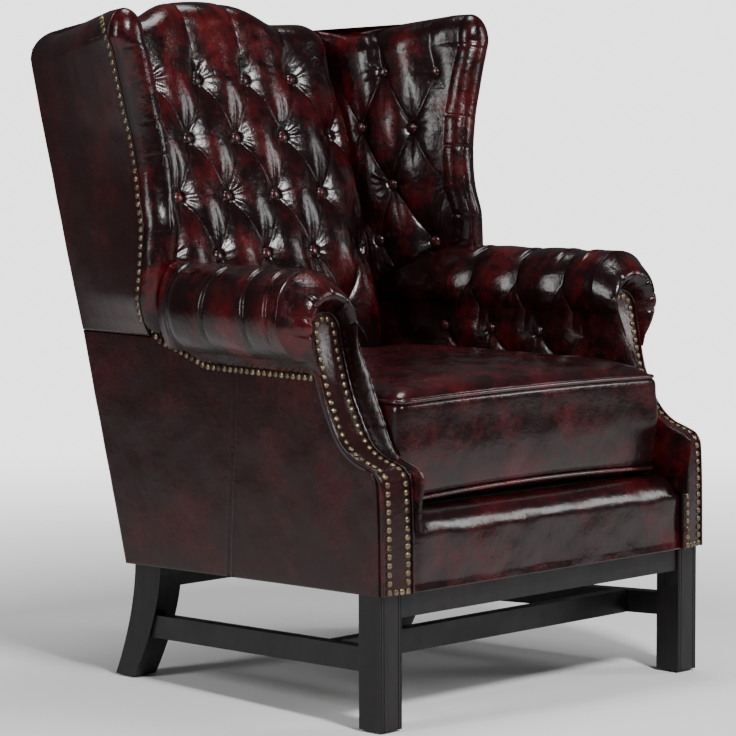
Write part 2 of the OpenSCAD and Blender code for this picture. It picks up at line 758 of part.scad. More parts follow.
function back_ring(i) = let (xa = column_x(i, rail_top_u(back_half)), c = rail_top_u(xa),
    us = concat([for (j = [0 : 25]) back_low_u + j * row_pitch / 4],
        [for (j = [1 : 3]) mix(top_row_u, c, j / 3)]),
    nt = back_front(xa, c) / 2)
    concat([for (u = us) let (x = column_x(i, u)) [x, back_front(x, u), u]],
        [for (j = [1 : roll_steps]) let (a = 180 * j / roll_steps)
            [xa, nt + nt * cos(a), c + crest_r * sin(a)]],
        [for (j = [0 : back_inner - 1]) let (u = mix(c, back_low_u, j / (back_inner - 1)))
            [column_x(i, u), pad_n, u]]);

module inside_back() {
    color(hide) placed() leaning() scale([1, -1, 1])
        skin([for (i = [0 : 2 * back_columns + 4]) back_ring(i)], 29 + roll_steps);
}

// The sheet behind the back, tacked to the frame
sheet_inset = panel_t + gap;
module outside_back() {
    half = back_half - sheet_inset;
    corner_u = lean_u(wing_shoulder(0), 0) - 2;
    inner = crease_x(crest_u);
    top = [for (i = [0 : crest_points]) let (x = mix(inner, -inner, i / crest_points))
        [x, rail_top_u(x) - 2 * gap]];
    color(hide_deep) placed() leaning() rotate([90, 0, 0]) linear_extrude(panel_t) polygon(concat(
        [[-half, 0], [half, 0], [half, corner_u], [inner + gap, corner_u]], top,
        [[-inner - gap, corner_u], [-half, corner_u]]));
}

// Wings

wing_pitch = 98;
wing_row = 92;
wing_row_drop = 104;
wing_top_z = wing_top - wing_row_drop;
wing_phase = 3;
wing_shift_x = 26;
wing_shift_reach = 170;
wing_tuft = 17;
wing_bulge = 14;
wing_clear = 8;
crease_depth = 10;
crease_gap = 3.2;
function wing_root(z, n) = [crease_x(lean_u(z, n)) + crease_gap, back_y_at(z, n)];
function wing_start(z) = wing_root(z, button_n(lean_u(z, pad_depth - crease_depth)) - crease_depth);
function wing_turn(z) = [wing_x(z) - 2 * wing_r, wing_front(z)];
// A point of the wing's inner side, w from the crease to the roll, at height z
function wing_inner(w, z) = let (a = wing_start(z), b = wing_turn(z), l = norm(b - a), d = (b - a) / l,
    s = w * l - wing_phase + wing_shift_x * step_up((wing_top_z - z) / wing_shift_reach),
    p = s / wing_pitch,
    q = (z - wing_top_z) / (2 * wing_row),
    h = z <= wing_top_z ? diamond(p + q, p - q)
        : mix(channel(p), 1, step_up((z - wing_top_z) / wing_row)),
    f = min(1, 4 * w, 3 * (1 - w)))
    a + w * l * d + [d[1], -d[0]] * (wing_bulge * sin(180 * w) - wing_tuft * f * (1 - h));
// A point of the wing's outer side, w from the rear of the crease to the front edge
rear_share = 0.22;
function wing_outer(w, z) = let (y1 = back_y_at(z, 0), y0 = wing_front(z))
    w < rear_share ? [mix(wing_root(z, 0)[0], back_half, w / rear_share), y1]
    : let (y = mix(y1, y0, (w - rear_share) / (1 - rear_share))) [outer_x(y, z), y];
function scroll_over(x, y) = let (d = x - scroll_x(y))
    scroll_z + sqrt(max(0, scroll_r * scroll_r - pow(min(0, d), 2))) + wing_clear;
arm_end_y = 446;
// The nails' line from the arm's front to the wing's front edge, as shares of that run and of its rise
nail_curve_rise = 57;
nail_curve_shares = [[0, 0], [0.596, 0.018], [0.75, 0.035], [0.821, 0.246], [0.881, 0.421], [0.944, 0.561],
    [0.982, 0.772], [1, 1]];
nail_curve = [for (s = nail_curve_shares) [wing_y * s[0], nail_line_z - 5 * over + nail_curve_rise * s[1]]];
function nail_z(y) = lookup(y, nail_curve);

wing_ws = [for (i = [0 : 12]) i / 12];
wing_arc = [for (i = [1 : 6]) 180 - 30 * i];
wing_body_rows = 14;
wing_cap_rows = 5;
wing_cap_end = 86;
post_clear = 3;
function arc_point(a, z, k) = [wing_x(z) - wing_r + k * wing_r * cos(a), wing_front(z) - k * wing_r * sin(a)];
function behind_roll(z, k) = let (b = wing_root(z, pad_n + gap))
    mix([wing_x(z) - stile_w - 2 * panel_t, wing_front(z) + wing_post_d], b, k);
inner_ws = [0.9, 0.74, 0.56, 0.4, 0.22, 0.11, 0];
function wing_back_edge(i, z) = i == 0 ? [wing_x(z) - panel_t - gap, wing_front(z)]
    : i == 1 ? [wing_x(z) - panel_t, wing_front(z) - wing_post_d / 2]
    : i == 2 ? [wing_x(z) - stile_w - 2 * panel_t, wing_front(z) - wing_post_d / 2]
    : behind_roll(z, (i - 3) / 3);

// A closed ring round the wing's padding: its inner side, its front roll and its hidden rear
function wing_body_ring(t) = concat(
    [for (w = wing_ws) let (p = wing_inner(w, scroll_z + scroll_r),
        z = mix(scroll_over(p[0], p[1]), wing_shoulder(w), t),
        q = wing_inner(w, z))
        [q[0], q[1], z]],
    [for (i = [0 : len(wing_arc) - 1]) let (p = arc_point(wing_arc[i], nail_line_z, 1),
        low = i < 2 ? scroll_z + scroll_r + wing_clear : i == 2 ? post_top + over : nail_z(p[1]) + gap,
        z = mix(low, wing_shoulder(1), t),
        q = arc_point(wing_arc[i], z, 1))
        [q[0], q[1], z]],
    [for (i = [0 : len(inner_ws) - 1]) let (p = wing_back_edge(i, scroll_z + scroll_r),
        low = i < 2 ? nail_z(wing_y) + gap : scroll_over(p[0], p[1]) + wing_clear / 2,
        z = mix(low, wing_shoulder(inner_ws[i]), t),
        q = wing_back_edge(i, z))
        [q[0], q[1], z]]);
// A point of the round top: the inner or outer side, drawn in to the middle between them
function wing_cap_point(w, k, outer) = let (z = wing_shoulder(w), p = wing_inner(w, z), o = wing_outer(w, z),
    m = (p + o) / 2)
    m + k * ((outer ? o : p) - m);
function wing_cap_ring(a) = let (k = cos(a), up = crest_r * sin(a))
    concat(
        [for (w = wing_ws) let (q = wing_cap_point(w, k, false)) [q[0], q[1], wing_shoulder(w) + up]],
        [for (b = wing_arc) let (z = wing_shoulder(1), q = arc_point(b, z, k)) [q[0], q[1], z + up]],
        [for (w = inner_ws) let (q = wing_cap_point(w, k, true)) [q[0], q[1], wing_shoulder(w) + up]]);

module inside_wing(side) {
    last = 1 - gap / wing_rise;
    rings = concat([for (j = [0 : wing_body_rows]) wing_body_ring(last * j / wing_body_rows)],
        [for (j = [0 : wing_cap_rows]) wing_cap_ring(wing_cap_end * j / wing_cap_rows)]);
    color(hide) on_side(side) skin(rings, len(wing_ws) + len(wing_arc));
}

// The leather over the wing's outer side, from the side seam to the shoulder
sheet_rows = 10;
sheet_drop = 3;
sheet_ws = [1, 0.9, 0.74, 0.56, 0.4, rear_share];
module outside_wing(side) {
    function low(w) = w == 1 ? nail_z(wing_y) : seam_z + gap;
    function pt(w, t, d) = let (z = mix(low(w), wing_shoulder(w) - sheet_drop, t), r = wing_outer(w, z))
        [r[0] - d, r[1] + (w == 1 ? 2 * over : -gap), z];
    function ring(t) = concat([for (w = sheet_ws) pt(w, t, 0)],
        [for (w = backwards(sheet_ws)) pt(w, t, panel_t)]);
    color(hide_deep) on_side(side) skin([for (j = [0 : sheet_rows]) ring(j / sheet_rows)], len(sheet_ws));
}

// Arms

arm_row_rise = 324;
arm_row_z = front_leg_h + arm_row_rise;
arm_button_y = 265;
wall_zs = concat([deck_z], [for (i = [2, 3, 5, 6, 7, 8, 9, 10]) facing_curve[i][1]], [arm_row_z]);
arc_start = 205;
arc_end = -65;
arc_n = 14;
function arc_angle(i) = mix(arc_start, arc_end, i / (arc_n - 1));
moving_arcs = 6;
tail_steps = 5;
outer_tuck_share = 0.58;
tuck_run = 66;
dimple_angle = 165;
scroll_pleat_share = 0.6;
pleat_turn = 120;
end_clear = 1.5;

// Girth along the arm's inner side: 0 at the buttons, 1 at the dimples above them
function arm_v(a) = min(1.2, (arc_start - a) / (arc_start - dimple_angle) * 0.5 + 0.5);
function arm_dip(y, v) = let (p = (y - arm_button_y) / arm_pitch, q = v / 2)
    v <= 1 ? 1 - diamond(p + q, p - q) : 1 - channel(p + 1 / 2);
function wall_fade(z) = step_up((z - seat_z - cushion_h) / (2 * crown) + 1);

function arm_body_ring(y) = let (wx = wall_x(y), xc = scroll_x(y),
    tuck = mix(1, outer_tuck_share, step_up((y - arm_end_y + tuck_run) / tuck_run)))
    concat(
        [for (z = wall_zs) let (v = (z - arm_row_z) / (row_pitch / 2))
            [wx + (y > first_station ? arm_tuft * wall_fade(z) * arm_dip(y, v) : 0), z]],
        [for (i = [0 : arc_n - 1]) let (a = arc_angle(i), v = arm_v(a),
            deep = v <= 1 ? 1 : scroll_pleat_share * step_up((a - arc_end) / pleat_turn),
            r = scroll_r - arm_tuft * deep * arm_dip(y, v),
            c = cos(a))
            [xc + r * c * (c > 0 ? tuck : 1), scroll_z + r * sin(a)]],
        [[side_x(y) + end_clear, nail_z(y) + gap]],
        [[side_x(y) - panel_t, nail_z(y) + gap], [side_x(y) - panel_t, post_top + gap],
            [arm_rail_x(y) - gap, post_top + gap]],
        [for (i = [10, 8, 7, 5]) [arm_rail_x(y) - gap, facing_curve[i][1]]], [[arm_rail_x(y) - gap, deck_z]]);
arm_outer_n = len(wall_zs) + arc_n + 1;

// The facing's own outline where each point of the arm's section meets it
head_drop = 10;
nail_lift = 14;
function front_section(p, i) = let (a = arc_angle(i - len(wall_zs)),
    near = facing_half - head_r,
    far = facing_half + head_r)
    i < len(wall_zs) ? [near, p[1]]
    : i >= arm_outer_n - 1 ? [i <= arm_outer_n ? far : p[0], p[1]]
    : a > 180 ? [near, head_z - (a - 180) / (arc_start - 180) * head_drop]
    : a < 0 ? [far, mix(head_z, nail_line_z + nail_lift, a / arc_end)]
    : [facing_half + head_r * cos(a), head_z + head_r * sin(a)];
// Which point of the inner curve each point of the outer curve closes to at the arm's ends
arm_pairs = [7, 7, 6, 6, 6, 5, 4, 4, 3, 3, 3, 2, 2, 2, 2, 2, 1, 1, 1, 1, 1, 1, 0, 0, 0];
scroll_proud_share = 1.45;
dome_fs = [0, 0.2, 0.5, 0.85, 1];
dome_run = 13;
first_station = 170;
body0 = arm_body_ring(first_station);
function front_y(z) = facing_y(min(z, facing_top));
facing_clear = 5;
function behind_facing(z) = front_y(z) + facing_t + facing_clear;
function arm_inner_x(i, y, p) = i < arm_outer_n + 2 ? side_x(y) - panel_t : p[0];
// How a point of the front dome lies at its full width, beside the facing
function dome_wide(i, p, y) = i < len(wall_zs) ? [wall_x(y), p[1]]
    : [p[0] + scroll_half - scroll_x(first_station), p[1]];
function dome_proud(i) = band_proud * (i < len(wall_zs) ? 1 : scroll_proud_share);
function dome_inner(i, p, y, f) = [arm_inner_x(i, y + dome_run, p),
    y + facing_t + facing_clear + over * (1 + 3 * f), p[1]];
function arm_front_ring(f) = [for (i = [0 : len(body0) - 1]) let (p = body0[i], q = front_section(p, i),
    y0 = front_y(q[1]),
    r = mix(q, dome_wide(i, p, y0 + dome_run), f))
    i >= arm_outer_n ? dome_inner(i, p, y0, f)
    : [r[0], y0 + over + dome_run * f - dome_proud(i) * sqrt(1 - pow(2 * f - 1, 2)), r[1]]];
function arm_back_of_facing() = [for (i = [0 : len(body0) - 1]) let (p = body0[i], q = front_section(p, i))
    i >= arm_outer_n ? [arm_inner_x(i, front_y(p[1]), p), behind_facing(p[1]), p[1]]
    : [q[0], behind_facing(q[1]), q[1]]];
rear_bevel = 13;
arm_stations = concat([for (k = [0 : 10]) arm_button_y + (k - 4) * arm_pitch / 4],
    [arm_end_y - rear_bevel, arm_end_y]);
// The arm's last stretch, which runs on under the wing to meet the back
function tail_ring(y0, t) = let (n0 = len(wall_zs) + moving_arcs,
    last = arm_outer_n + 2,
    full = arm_body_ring(y0),
    steps = last - n0 + 1)
    [for (i = [0 : len(full) - 1]) let (plain = i < n0 || i >= last,
        k = (i - n0 + 1) / steps,
        z = plain ? full[i][1] : mix(full[n0 - 1][1], full[last][1], k),
        y = mix(arm_end_y + gap / 2, back_y_at(z, pad_n) - 2 * gap, t),
        now = arm_body_ring(y),
        p = plain ? now[i] : mix(now[n0 - 1], now[last], k))
        [p[0], y, p[1]]];

module inside_arm(side) {
    rings = concat([arm_back_of_facing()], [for (f = dome_fs) arm_front_ring(f)],
        [for (y = arm_stations) [for (p = arm_body_ring(y)) [p[0], y, p[1]]]],
        [for (k = [0 : tail_steps]) tail_ring(arm_end_y + over, k / tail_steps)]);
    color(hide) on_side(side) skin(rings, arm_outer_n, arm_pairs);
}

// The flat leather over the outer side of the arm, up to the nails and the side seam
notch = 8;
nail_end_y = wing_y * nail_curve_shares[6][0];
module outside_arm(side) {
    low = [for (p = facing_back(facing_t + panel_t / 2)) if (p[1] < nail_line_z - notch) p];
    start_y = low[len(low) - 1][0] + notch;
    top = [for (k = nail_curve) if (k[0] > start_y && k[0] < nail_end_y - gap)
        [k[0], min(seam_z, k[1]) - gap]];
    color(hide_deep) on_side(side) tapering(side_half, 0) side_plate(-panel_t, 0, concat(
        [[leg_square, front_leg_h], [low[0][0], front_leg_h]], low,
        [[start_y, nail_curve[0][1] - gap]], top,
        [[nail_end_y, seam_z - gap], [back_y_at(seam_z, 0) - gap, seam_z - gap],
            [back_y_at(edge_z(foot_y) + 1, 0) - gap, edge_z(foot_y)]]));
}

// The nailed facing, a bent board with a round head
facing_turn = 0.158;
head_steps = 8;
facing_low = [for (p = facing_curve) if (p[1] < head_z - 2) p];
facing_rows = concat([for (p = facing_low) [p[0], p[1], facing_w / 2]],
    [for (i = [0 : head_steps]) let (a = 88 * i / head_steps, z = head_z + facing_w / 2 * sin(a))
        [facing_y(z), z, facing_w / 2 * cos(a)]]);
module arm_facing(side) {
    n = len(facing_rows);
    function middle(i) = let (r = facing_rows[min(n - 1, max(0, i))]) [r[0], r[1]];
    function ring(i) = let (h = facing_rows[i][2], d = middle(i + 1) - middle(i - 1),
        p = middle(i),
        q = p + facing_t * [d[1], -d[0]] / norm(d),
        turn = facing_turn * h)
        [[facing_half - h, p[0] - turn, p[1]], [facing_half + h, p[0] + turn, p[1]],
            [facing_half + h, q[0], p[1]], [facing_half - h, q[0], p[1]]];
    color(hide) on_side(side) skin([for (i = [0 : n - 1]) ring(i)], 2);
}

// Seat cushion

corner_r = 46;
corner_grow_share = 0.23;
corner_steps = 6;
edge_steps = 4;
cushion_sides = 4 * (corner_steps + edge_steps);
cushion_z = seat_z + gap;
seam_in = 7.5;
back_clear = 3;
cushion_bulge = 5;
// A plan of the cushion at a height, drawn in by an inset: each corner's arc, then points along the edge
function cushion_plan(z, inset) = let (y0 = cushion_setback + inset,
    y1 = back_y_at(z, button_n(lean_u(z, pad_depth)) + tuft) - back_clear - inset,
    w = seat_half - end_clear - inset, half_d = (y1 - y0) / 2,
    r = min(corner_r + corner_grow_share * inset, 0.9 * half_d, 0.9 * w), mid = (y0 + y1) / 2,
    corners = [[1, 1, 0], [-1, 1, 90], [-1, -1, 180], [1, -1, 270]],
    arcs = [for (c = corners) [for (i = [0 : corner_steps]) let (a = c[2] + 90 * i / corner_steps)
        [c[0] * (w - r) + r * cos(a), c[1] * (half_d - r) + r * sin(a)]]],
    all = [for (k = [0 : 3]) each concat(arcs[k], [for (j = [1 : edge_steps - 1])
        mix(arcs[k][corner_steps], arcs[(k + 1) % 4][0], j / edge_steps)])])
    [for (p = all) let (y = mid + p[1],
        bulge = p[1] < 0 ? cushion_bulge * (1 - pow(p[0] / w, 2)) * p[1] / half_d : 0)
        [p[0] * (wall_x(y) - end_clear) / (seat_half - end_clear), y + bulge, z]];
low_seam = 9;
top_seam = low_seam + cushion_h;
// Each seam's groove, then the sides as shares of the height and of the seam's depth,
// and the top as shares of the crown and of the half width
seam_groove = 4.5;
base_in = 14;
side_shares = [[0.1, 0.27], [0.27, -0.03], [0.73, -0.03], [0.9, 0.27]];
crown_shares = [[0.46, 0.082], [0.71, 0.2], [0.89, 0.377], [1, 0.6]];
cushion_levels = concat(
    [[0, base_in], [low_seam - seam_groove, seam_in], [low_seam + seam_groove, seam_in]],
    [for (s = side_shares) [low_seam + cushion_h * s[0], seam_in * s[1]]],
    [[top_seam - seam_groove, seam_in], [top_seam + seam_groove, seam_in + over]],
    [for (s = crown_shares) [top_seam + crown * s[0], seat_half * s[1]]]);
module seat_cushion() {
    rings = [for (l = cushion_levels) cushion_plan(cushion_z + l[0], l[1])];
    m = len(rings);
    n = len(rings[0]);
    walls = [for (j = [0 : m - 2], i = [0 : n - 1]) let (k = (i + 1) % n, a = j * n, b = a + n)
        each [[a + i, a + k, b + i], [a + k, b + k, b + i]]];
    ends = [for (i = [0 : n - 1]) let (k = (i + 1) % n, a = (m - 1) * n)
        each [[k, i, m * n + 1], [a + i, a + k, m * n]]];
    top = cushion_z + top_seam + crown + over;
    middle = (cushion_setback + back_y_at(seat_z, pad_depth)) / 2;
    poles = [[0, middle, top], [0, middle, cushion_z]];
    color(hide) placed() solid_of(concat([for (r = rings) each r], poles),
        concat(walls, ends));
}

module cushion_piping(level) {
    path = cushion_plan(cushion_z + level, seam_in - piping_r - 2 * gap);
    color(hide) placed() tube(path, piping_r, 6, [0, 0, 1], true);
}

// Buttons

// A covered button at a point, facing along a direction
module button_at(p, d) {
    turn = [0, acos(d[2] / norm(d)), atan2(d[1], d[0])];
    translate(p) rotate(turn) {
        cylinder(h = button_t, d1 = button_d, d2 = button_d * button_top_share, $fn = round_fn);
    }
}
button_top_share = 0.62;
button_sink = 1;

module back_buttons() {
    color(hide) placed() leaning() for (r = [0 : row_count], k = [-1.5 : 1 / 2 : 1.5])
        let (whole = abs(k) == floor(abs(k)), u = top_row_u - r * row_pitch)
        if (whole == (r % 2 == 1)) let (x = k * button_pitch)
            button_at([x, button_sink - back_front(x, u), u], [0, -1, 0]);
}

wing_button_rows = [[0, [1, 2]], [1, [0, 1]], [2, [1]], [3, [0, 1]]];
function wing_button_w(r, k) = let (z = wing_top_z - r * wing_row, l = norm(wing_turn(z) - wing_start(z)),
    shift = wing_shift_x * step_up((wing_top_z - z) / wing_shift_reach))
    (wing_phase - shift + wing_pitch * (k + (r % 2) / 2)) / l;
module wing_buttons(side) {
    color(hide) on_side(side) for (r = wing_button_rows, k = r[1]) let (w = wing_button_w(r[0], k),
        z = wing_top_z - r[0] * wing_row, p = wing_inner(w, z), d = wing_turn(z) - wing_start(z),
        n = [d[1], -d[0]] / norm(d))
        if (w < 0.97) button_at([p[0] - n[0] * button_sink, p[1] - n[1] * button_sink, z], [n[0], n[1], 0]);
}

module arm_buttons(side) {
    color(hide) on_side(side) for (k = [0 : 2]) let (y = arm_button_y + k * arm_pitch)
        button_at([wall_x(y) + arm_tuft + button_sink, y, arm_row_z], [-1, 0, 0]);
}

// Nails

module nail_at(p, d) {
    turn = [0, acos(d[2] / norm(d)), atan2(d[1], d[0])];
    translate(p) rotate(turn) {
        cylinder(h = nail_h, d1 = nail_d, d2 = nail_d * nail_top_share, $fn = 16);
        translate([0, 0, -nail_h]) cylinder(h = nail_h, d = nail_d * nail_shank_share, $fn = 16);
    }
}
nail_top_share = 0.45;
nail_shank_share = 0.2;

// Lengths along a row of points, and the point at a length
function lengths(path, i = 1, sum = 0) = i >= len(path) ? [sum]
    : concat([sum], lengths(path, i + 1, sum + norm(path[i] - path[i - 1])));
function along(path, ls, d) = let (last = len(ls) - 2,
    past = [for (i = [0 : last]) if (ls[i + 1] >= d) i],
    i = len(past) > 0 ? past[0] : last)
    mix(path[i], path[i + 1], (d - ls[i]) / (ls[i + 1] - ls[i]));

nail_in = nail_d / 2 + over / 2;
wing_run = 230;
side_nail_shares = [0.934, 0.881, 0.821, 0.75, 0.646, 0.521, 0.398, 0.282];
edge_steps_up = 24;
edge_path = concat(
    [for (i = [0 : edge_steps_up]) let (
        z = mix(wing_shoulder(1) - nail_in, nail_z(wing_y) + nail_h, i / edge_steps_up),
        q = wing_outer(1 - nail_in / wing_run, z))
        [q[0], q[1], z]],
    [for (a = [-30, -55]) let (z = nail_z(wing_y), q = arc_point(a, z, 1))
        [q[0], wing_front(z) - wing_r * sin(-a), z + nail_in]],
    [for (k = side_nail_shares) let (y = wing_y * k) [side_x(y), y, nail_z(y) - nail_in]]);
module side_nails(side) {
    path = edge_path;
    ls = lengths(path);
    total = ls[len(ls) - 1];
    count = floor(total / nail_pitch);
    color(nail_brass) on_side(side) for (i = [0 : count]) let (p = along(path, ls, i * total / count))
        nail_at(p, p[1] > wing_y - 8 ? [1, side_taper * 2, 0] : [1, side_taper, 0]);
}

nail_border = 4;
facing_nail_x = facing_w / 2 - nail_in - nail_border;
// A nail's place on the facing, at a height and an offset from its middle line
function facing_point(x, y, z) = [facing_half + x, y + facing_turn * x, z];
head_nail_steps = 10;
slope_reach = 4;
module facing_nails(side) {
    foot = facing_foot_z + nail_in;
    rise = [for (p = facing_low) if (p[1] > foot) p];
    near = [for (p = rise) facing_point(-facing_nail_x, p[0], p[1])];
    far = [for (p = backwards(rise)) facing_point(facing_nail_x, p[0], p[1])];
    head = [for (i = [1 : head_nail_steps - 1]) let (a = 180 - 180 * i / head_nail_steps,
        z = head_z + facing_nail_x * sin(a))
        facing_point(facing_nail_x * cos(a), facing_y(z), z)];
    function at_foot(x) = facing_point(x, facing_y(foot), foot);
    path = concat([at_foot(-facing_nail_x)], near, head, far, [at_foot(facing_nail_x)]);
    ls = lengths(path);
    total = ls[len(ls) - 1];
    count = floor(total / nail_pitch);
    function rise_at(z) = facing_y(z + slope_reach) - facing_y(z - slope_reach);
    function slope(z) = z > head_z ? 0 : rise_at(z) / (2 * slope_reach);
    color(nail_brass) on_side(side) {
        for (i = [0 : count]) let (p = along(path, ls, i * total / count))
            nail_at(p, [facing_turn, -1, slope(p[2])]);
        for (i = [1 : 2]) let (x = mix(-facing_nail_x, facing_nail_x, i / 3))
            nail_at(at_foot(x), [facing_turn, -1, 0]);
    }
}

front_leg(-1);  // front_left_leg
front_leg(1);  // front_right_leg
rear_leg(-1);  // rear_left_leg
rear_leg(1);  // rear_right_leg
leg_glides();
front_show_rail();
rear_show_rail();
side_stretcher(-1);  // left_stretcher
side_stretcher(1);  // right_stretcher
cross_stretcher();
seat_front_rail();
seat_back_rail();
seat_side_rail(-1);  // seat_left_rail
seat_side_rail(1);  // seat_right_rail
corner_blocks();
leg_dowels();
arm_post(-1);  // left_arm_post
arm_post(1);  // right_arm_post
arm_rail(-1);  // left_arm_rail
arm_rail(1);  // right_arm_rail
back_stile(-1);  // left_back_stile
back_stile(1);  // right_back_stile
crest_rail();
back_middle_rail();
wing_post(-1);  // left_wing_post
wing_post(1);  // right_wing_post
wing_rail(-1);  // left_wing_rail
wing_rail(1);  // right_wing_rail
seat_webbing();
cross_webbing();
back_webbing();
seat_deck();
front_border();
dust_cover();
inside_back();
outside_back();
inside_wing(-1);  // left_inside_wing
inside_wing(1);  // right_inside_wing
outside_wing(-1);  // left_outside_wing
outside_wing(1);  // right_outside_wing
inside_arm(-1);  // left_inside_arm
inside_arm(1);  // right_inside_arm
outside_arm(-1);  // left_outside_arm
outside_arm(1);  // right_outside_arm
arm_facing(-1);  // left_arm_facing
arm_facing(1);  // right_arm_facing
seat_cushion();
cushion_piping(top_seam);  // cushion_top_piping
cushion_piping(low_seam);  // cushion_bottom_piping
back_buttons();
wing_buttons(-1);  // left_wing_buttons
wing_buttons(1);  // right_wing_buttons
arm_buttons(-1);  // left_arm_buttons
arm_buttons(1);  // right_arm_buttons
side_nails(-1);  // left_side_nails
side_nails(1);  // right_side_nails
facing_nails(-1);  // left_facing_nails
facing_nails(1);  // right_facing_nails
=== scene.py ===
# %% [markdown]
# # A deep-buttoned wing armchair
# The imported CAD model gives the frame, the sizes and the motion. Every padded piece is drawn here again
# on fine grids, from the same formulas as the CAD source, and gets its leather.

# %%
import math
import bpy
import numpy as np
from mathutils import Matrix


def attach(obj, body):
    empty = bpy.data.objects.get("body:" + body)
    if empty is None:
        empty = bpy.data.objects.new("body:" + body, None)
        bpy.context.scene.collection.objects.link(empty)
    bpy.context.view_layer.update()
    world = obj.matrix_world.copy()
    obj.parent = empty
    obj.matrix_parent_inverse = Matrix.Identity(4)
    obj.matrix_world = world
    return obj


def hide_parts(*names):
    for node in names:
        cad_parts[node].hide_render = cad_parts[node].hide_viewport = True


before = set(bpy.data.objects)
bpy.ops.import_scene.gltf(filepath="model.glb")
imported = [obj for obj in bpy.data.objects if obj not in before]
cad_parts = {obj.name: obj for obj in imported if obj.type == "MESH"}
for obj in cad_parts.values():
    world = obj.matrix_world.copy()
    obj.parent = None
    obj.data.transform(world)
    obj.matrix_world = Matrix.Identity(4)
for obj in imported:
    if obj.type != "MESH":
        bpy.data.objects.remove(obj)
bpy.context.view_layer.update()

# %% [markdown]
# ## Camera
# The camera was solved from the straight edges of the base: leg edges, stretchers and rails. A long lens
# from the chair's front left keeps its upright edges upright. Its three axes are built from azimuth,
# pitch and roll.

# %%
MID_Y = 389.6
MM = 0.001
cam_data = bpy.data.cameras.new("camera")
cam_data.lens = 156.14
cam_data.sensor_width = 36
EYE = [-3.501, -3.4946, 0.915]
camera = bpy.data.objects.new("camera", cam_data)
bpy.context.scene.collection.objects.link(camera)
azimuth, pitch, roll = (math.radians(v) for v in (-45.21, 5.12, -0.16))
back = np.array([math.sin(azimuth) * math.cos(pitch), -math.cos(azimuth) * math.cos(pitch), math.sin(pitch)])
right = np.array([math.cos(azimuth), math.sin(azimuth), 0.0])
up = np.cross(back, right)
tilt_right = right * math.cos(roll) + up * math.sin(roll)
tilt_up = np.cross(back, tilt_right)
camera.matrix_world = [[*tilt_right, 0], [*tilt_up, 0], [*back, 0], [*EYE, 1]]
bpy.context.scene.camera = camera
print("camera", [round(v, 3) for v in camera.matrix_world.translation])

# %% [markdown]
# ## Meshes from grids
# Upholstery is a skin over padding, so each padded piece is a row of closed rings with a skin over them.
# A box with a subdivision modifier would be quicker, but it couldn't hold the tufts, pleats and wells of
# this chair. Points are in millimetres, with y from the front legs' face, and each has a value from 0 to 1:
# high where the hide is worn, and low where shade is painted into its pleats and hollows.

# %%
def make(name, verts, faces, rub=None, smooth=True):
    """A mesh object from points in mm: (x, y - MID_Y, z) / 1000, with an attribute from 0 to 1 for wear and
    painted shade.
    """
    pts = (np.asarray(verts, float) - [0, MID_Y, 0]) * MM
    mesh = bpy.data.meshes.new(name)
    mesh.from_pydata(pts.tolist(), [], faces)
    attribute = mesh.attributes.new("rub", "FLOAT", "POINT")
    # Values from 0 to 1: high marks worn hide, low paints shade into pleats, wells and hidden backs; without
    # values all are 1.
    worn = np.ones(len(pts)) if rub is None else np.clip(np.asarray(rub, float), 0, 1)
    attribute.data.foreach_set("value", worn)
    mesh.validate()
    volume = sum(p.center.dot(p.normal) * p.area for p in mesh.polygons)
    if volume < 0:
        mesh.flip_normals()
    mesh.polygons.foreach_set("use_smooth", [smooth] * len(mesh.polygons))
    obj = bpy.data.objects.new(name, mesh)
    bpy.context.scene.collection.objects.link(obj)
    return obj


def ring_faces(m, n, caps=True):
    """Quads between m rings of n points, and a fan over each end from a middle point."""
    j, i = np.meshgrid(np.arange(m - 1), np.arange(n), indexing="ij")
    k = (i + 1) % n
    quads = np.stack([j * n + i, j * n + k, (j + 1) * n + k, (j + 1) * n + i], -1).reshape(-1, 4).tolist()
    if caps:
        quads += [[i, m * n, (i + 1) % n] for i in range(n)]
        quads += [[(m - 1) * n + i, (m - 1) * n + (i + 1) % n, m * n + 1] for i in range(n)]
    return quads


print("faces of a closed tube of 3 rings of 8 points", len(ring_faces(3, 8)))

# %% [markdown]
# ### Skins over rings
# A ring of a wing or an arm is a long thin loop. A fan from its middle would fold over itself at the
# ends, so such a skin is closed like a zip between the loop's outer and inner sides.

# %%
def zip_cap(ring, start, n_out):
    """Triangles between a ring's outer chain and its inner chain, taking the shorter diagonal each time."""
    n, i, j, faces = len(ring), 0, len(ring) - 1, []
    while i < n_out - 1 or j > n_out:
        ahead = np.linalg.norm(ring[i + 1] - ring[j]) if i < n_out - 1 else np.inf
        aside = np.linalg.norm(ring[i] - ring[j - 1]) if j > n_out else np.inf
        if ahead <= aside:
            faces.append([start + i, start + i + 1, start + j])
            i += 1
        else:
            faces.append([start + i, start + j - 1, start + j])
            j -= 1
    return faces


def loft(name, rings, wear_and_shade_rows=None, n_out=None):
    """A closed skin over rings of shape (m, n, 3), with fans or, given n_out, zipped chains at its ends."""
    rings = np.asarray(rings, float)
    m, n = rings.shape[:2]
    if n_out:
        walls = ring_faces(m, n, caps=False)
        near = [f[::-1] for f in zip_cap(rings[0], 0, n_out)]
        far = zip_cap(rings[-1], (m - 1) * n, n_out)
        rub = None if wear_and_shade_rows is None else np.ravel(wear_and_shade_rows)
        return make(name, rings.reshape(-1, 3), walls + near + far, rub)
    verts = np.concatenate([rings.reshape(-1, 3), rings[0].mean(0)[None], rings[-1].mean(0)[None]])
    # The caps' two middle points get 0, which paints full shade there.
    rub = None if wear_and_shade_rows is None else np.concatenate([np.asarray(wear_and_shade_rows, float).ravel(), [0, 0]])
    return make(name, verts, ring_faces(m, n), rub)


print("an open chain is zipped into", len(zip_cap(np.eye(6, 3), 0, 3)), "triangles")

# %% [markdown]
# ### Pipes, pairs and smooth numbers
# A piping is a tube along a path. The right side of the chair is worked out once and mirrored as points,
# which keeps every object at the origin, unturned and unscaled.

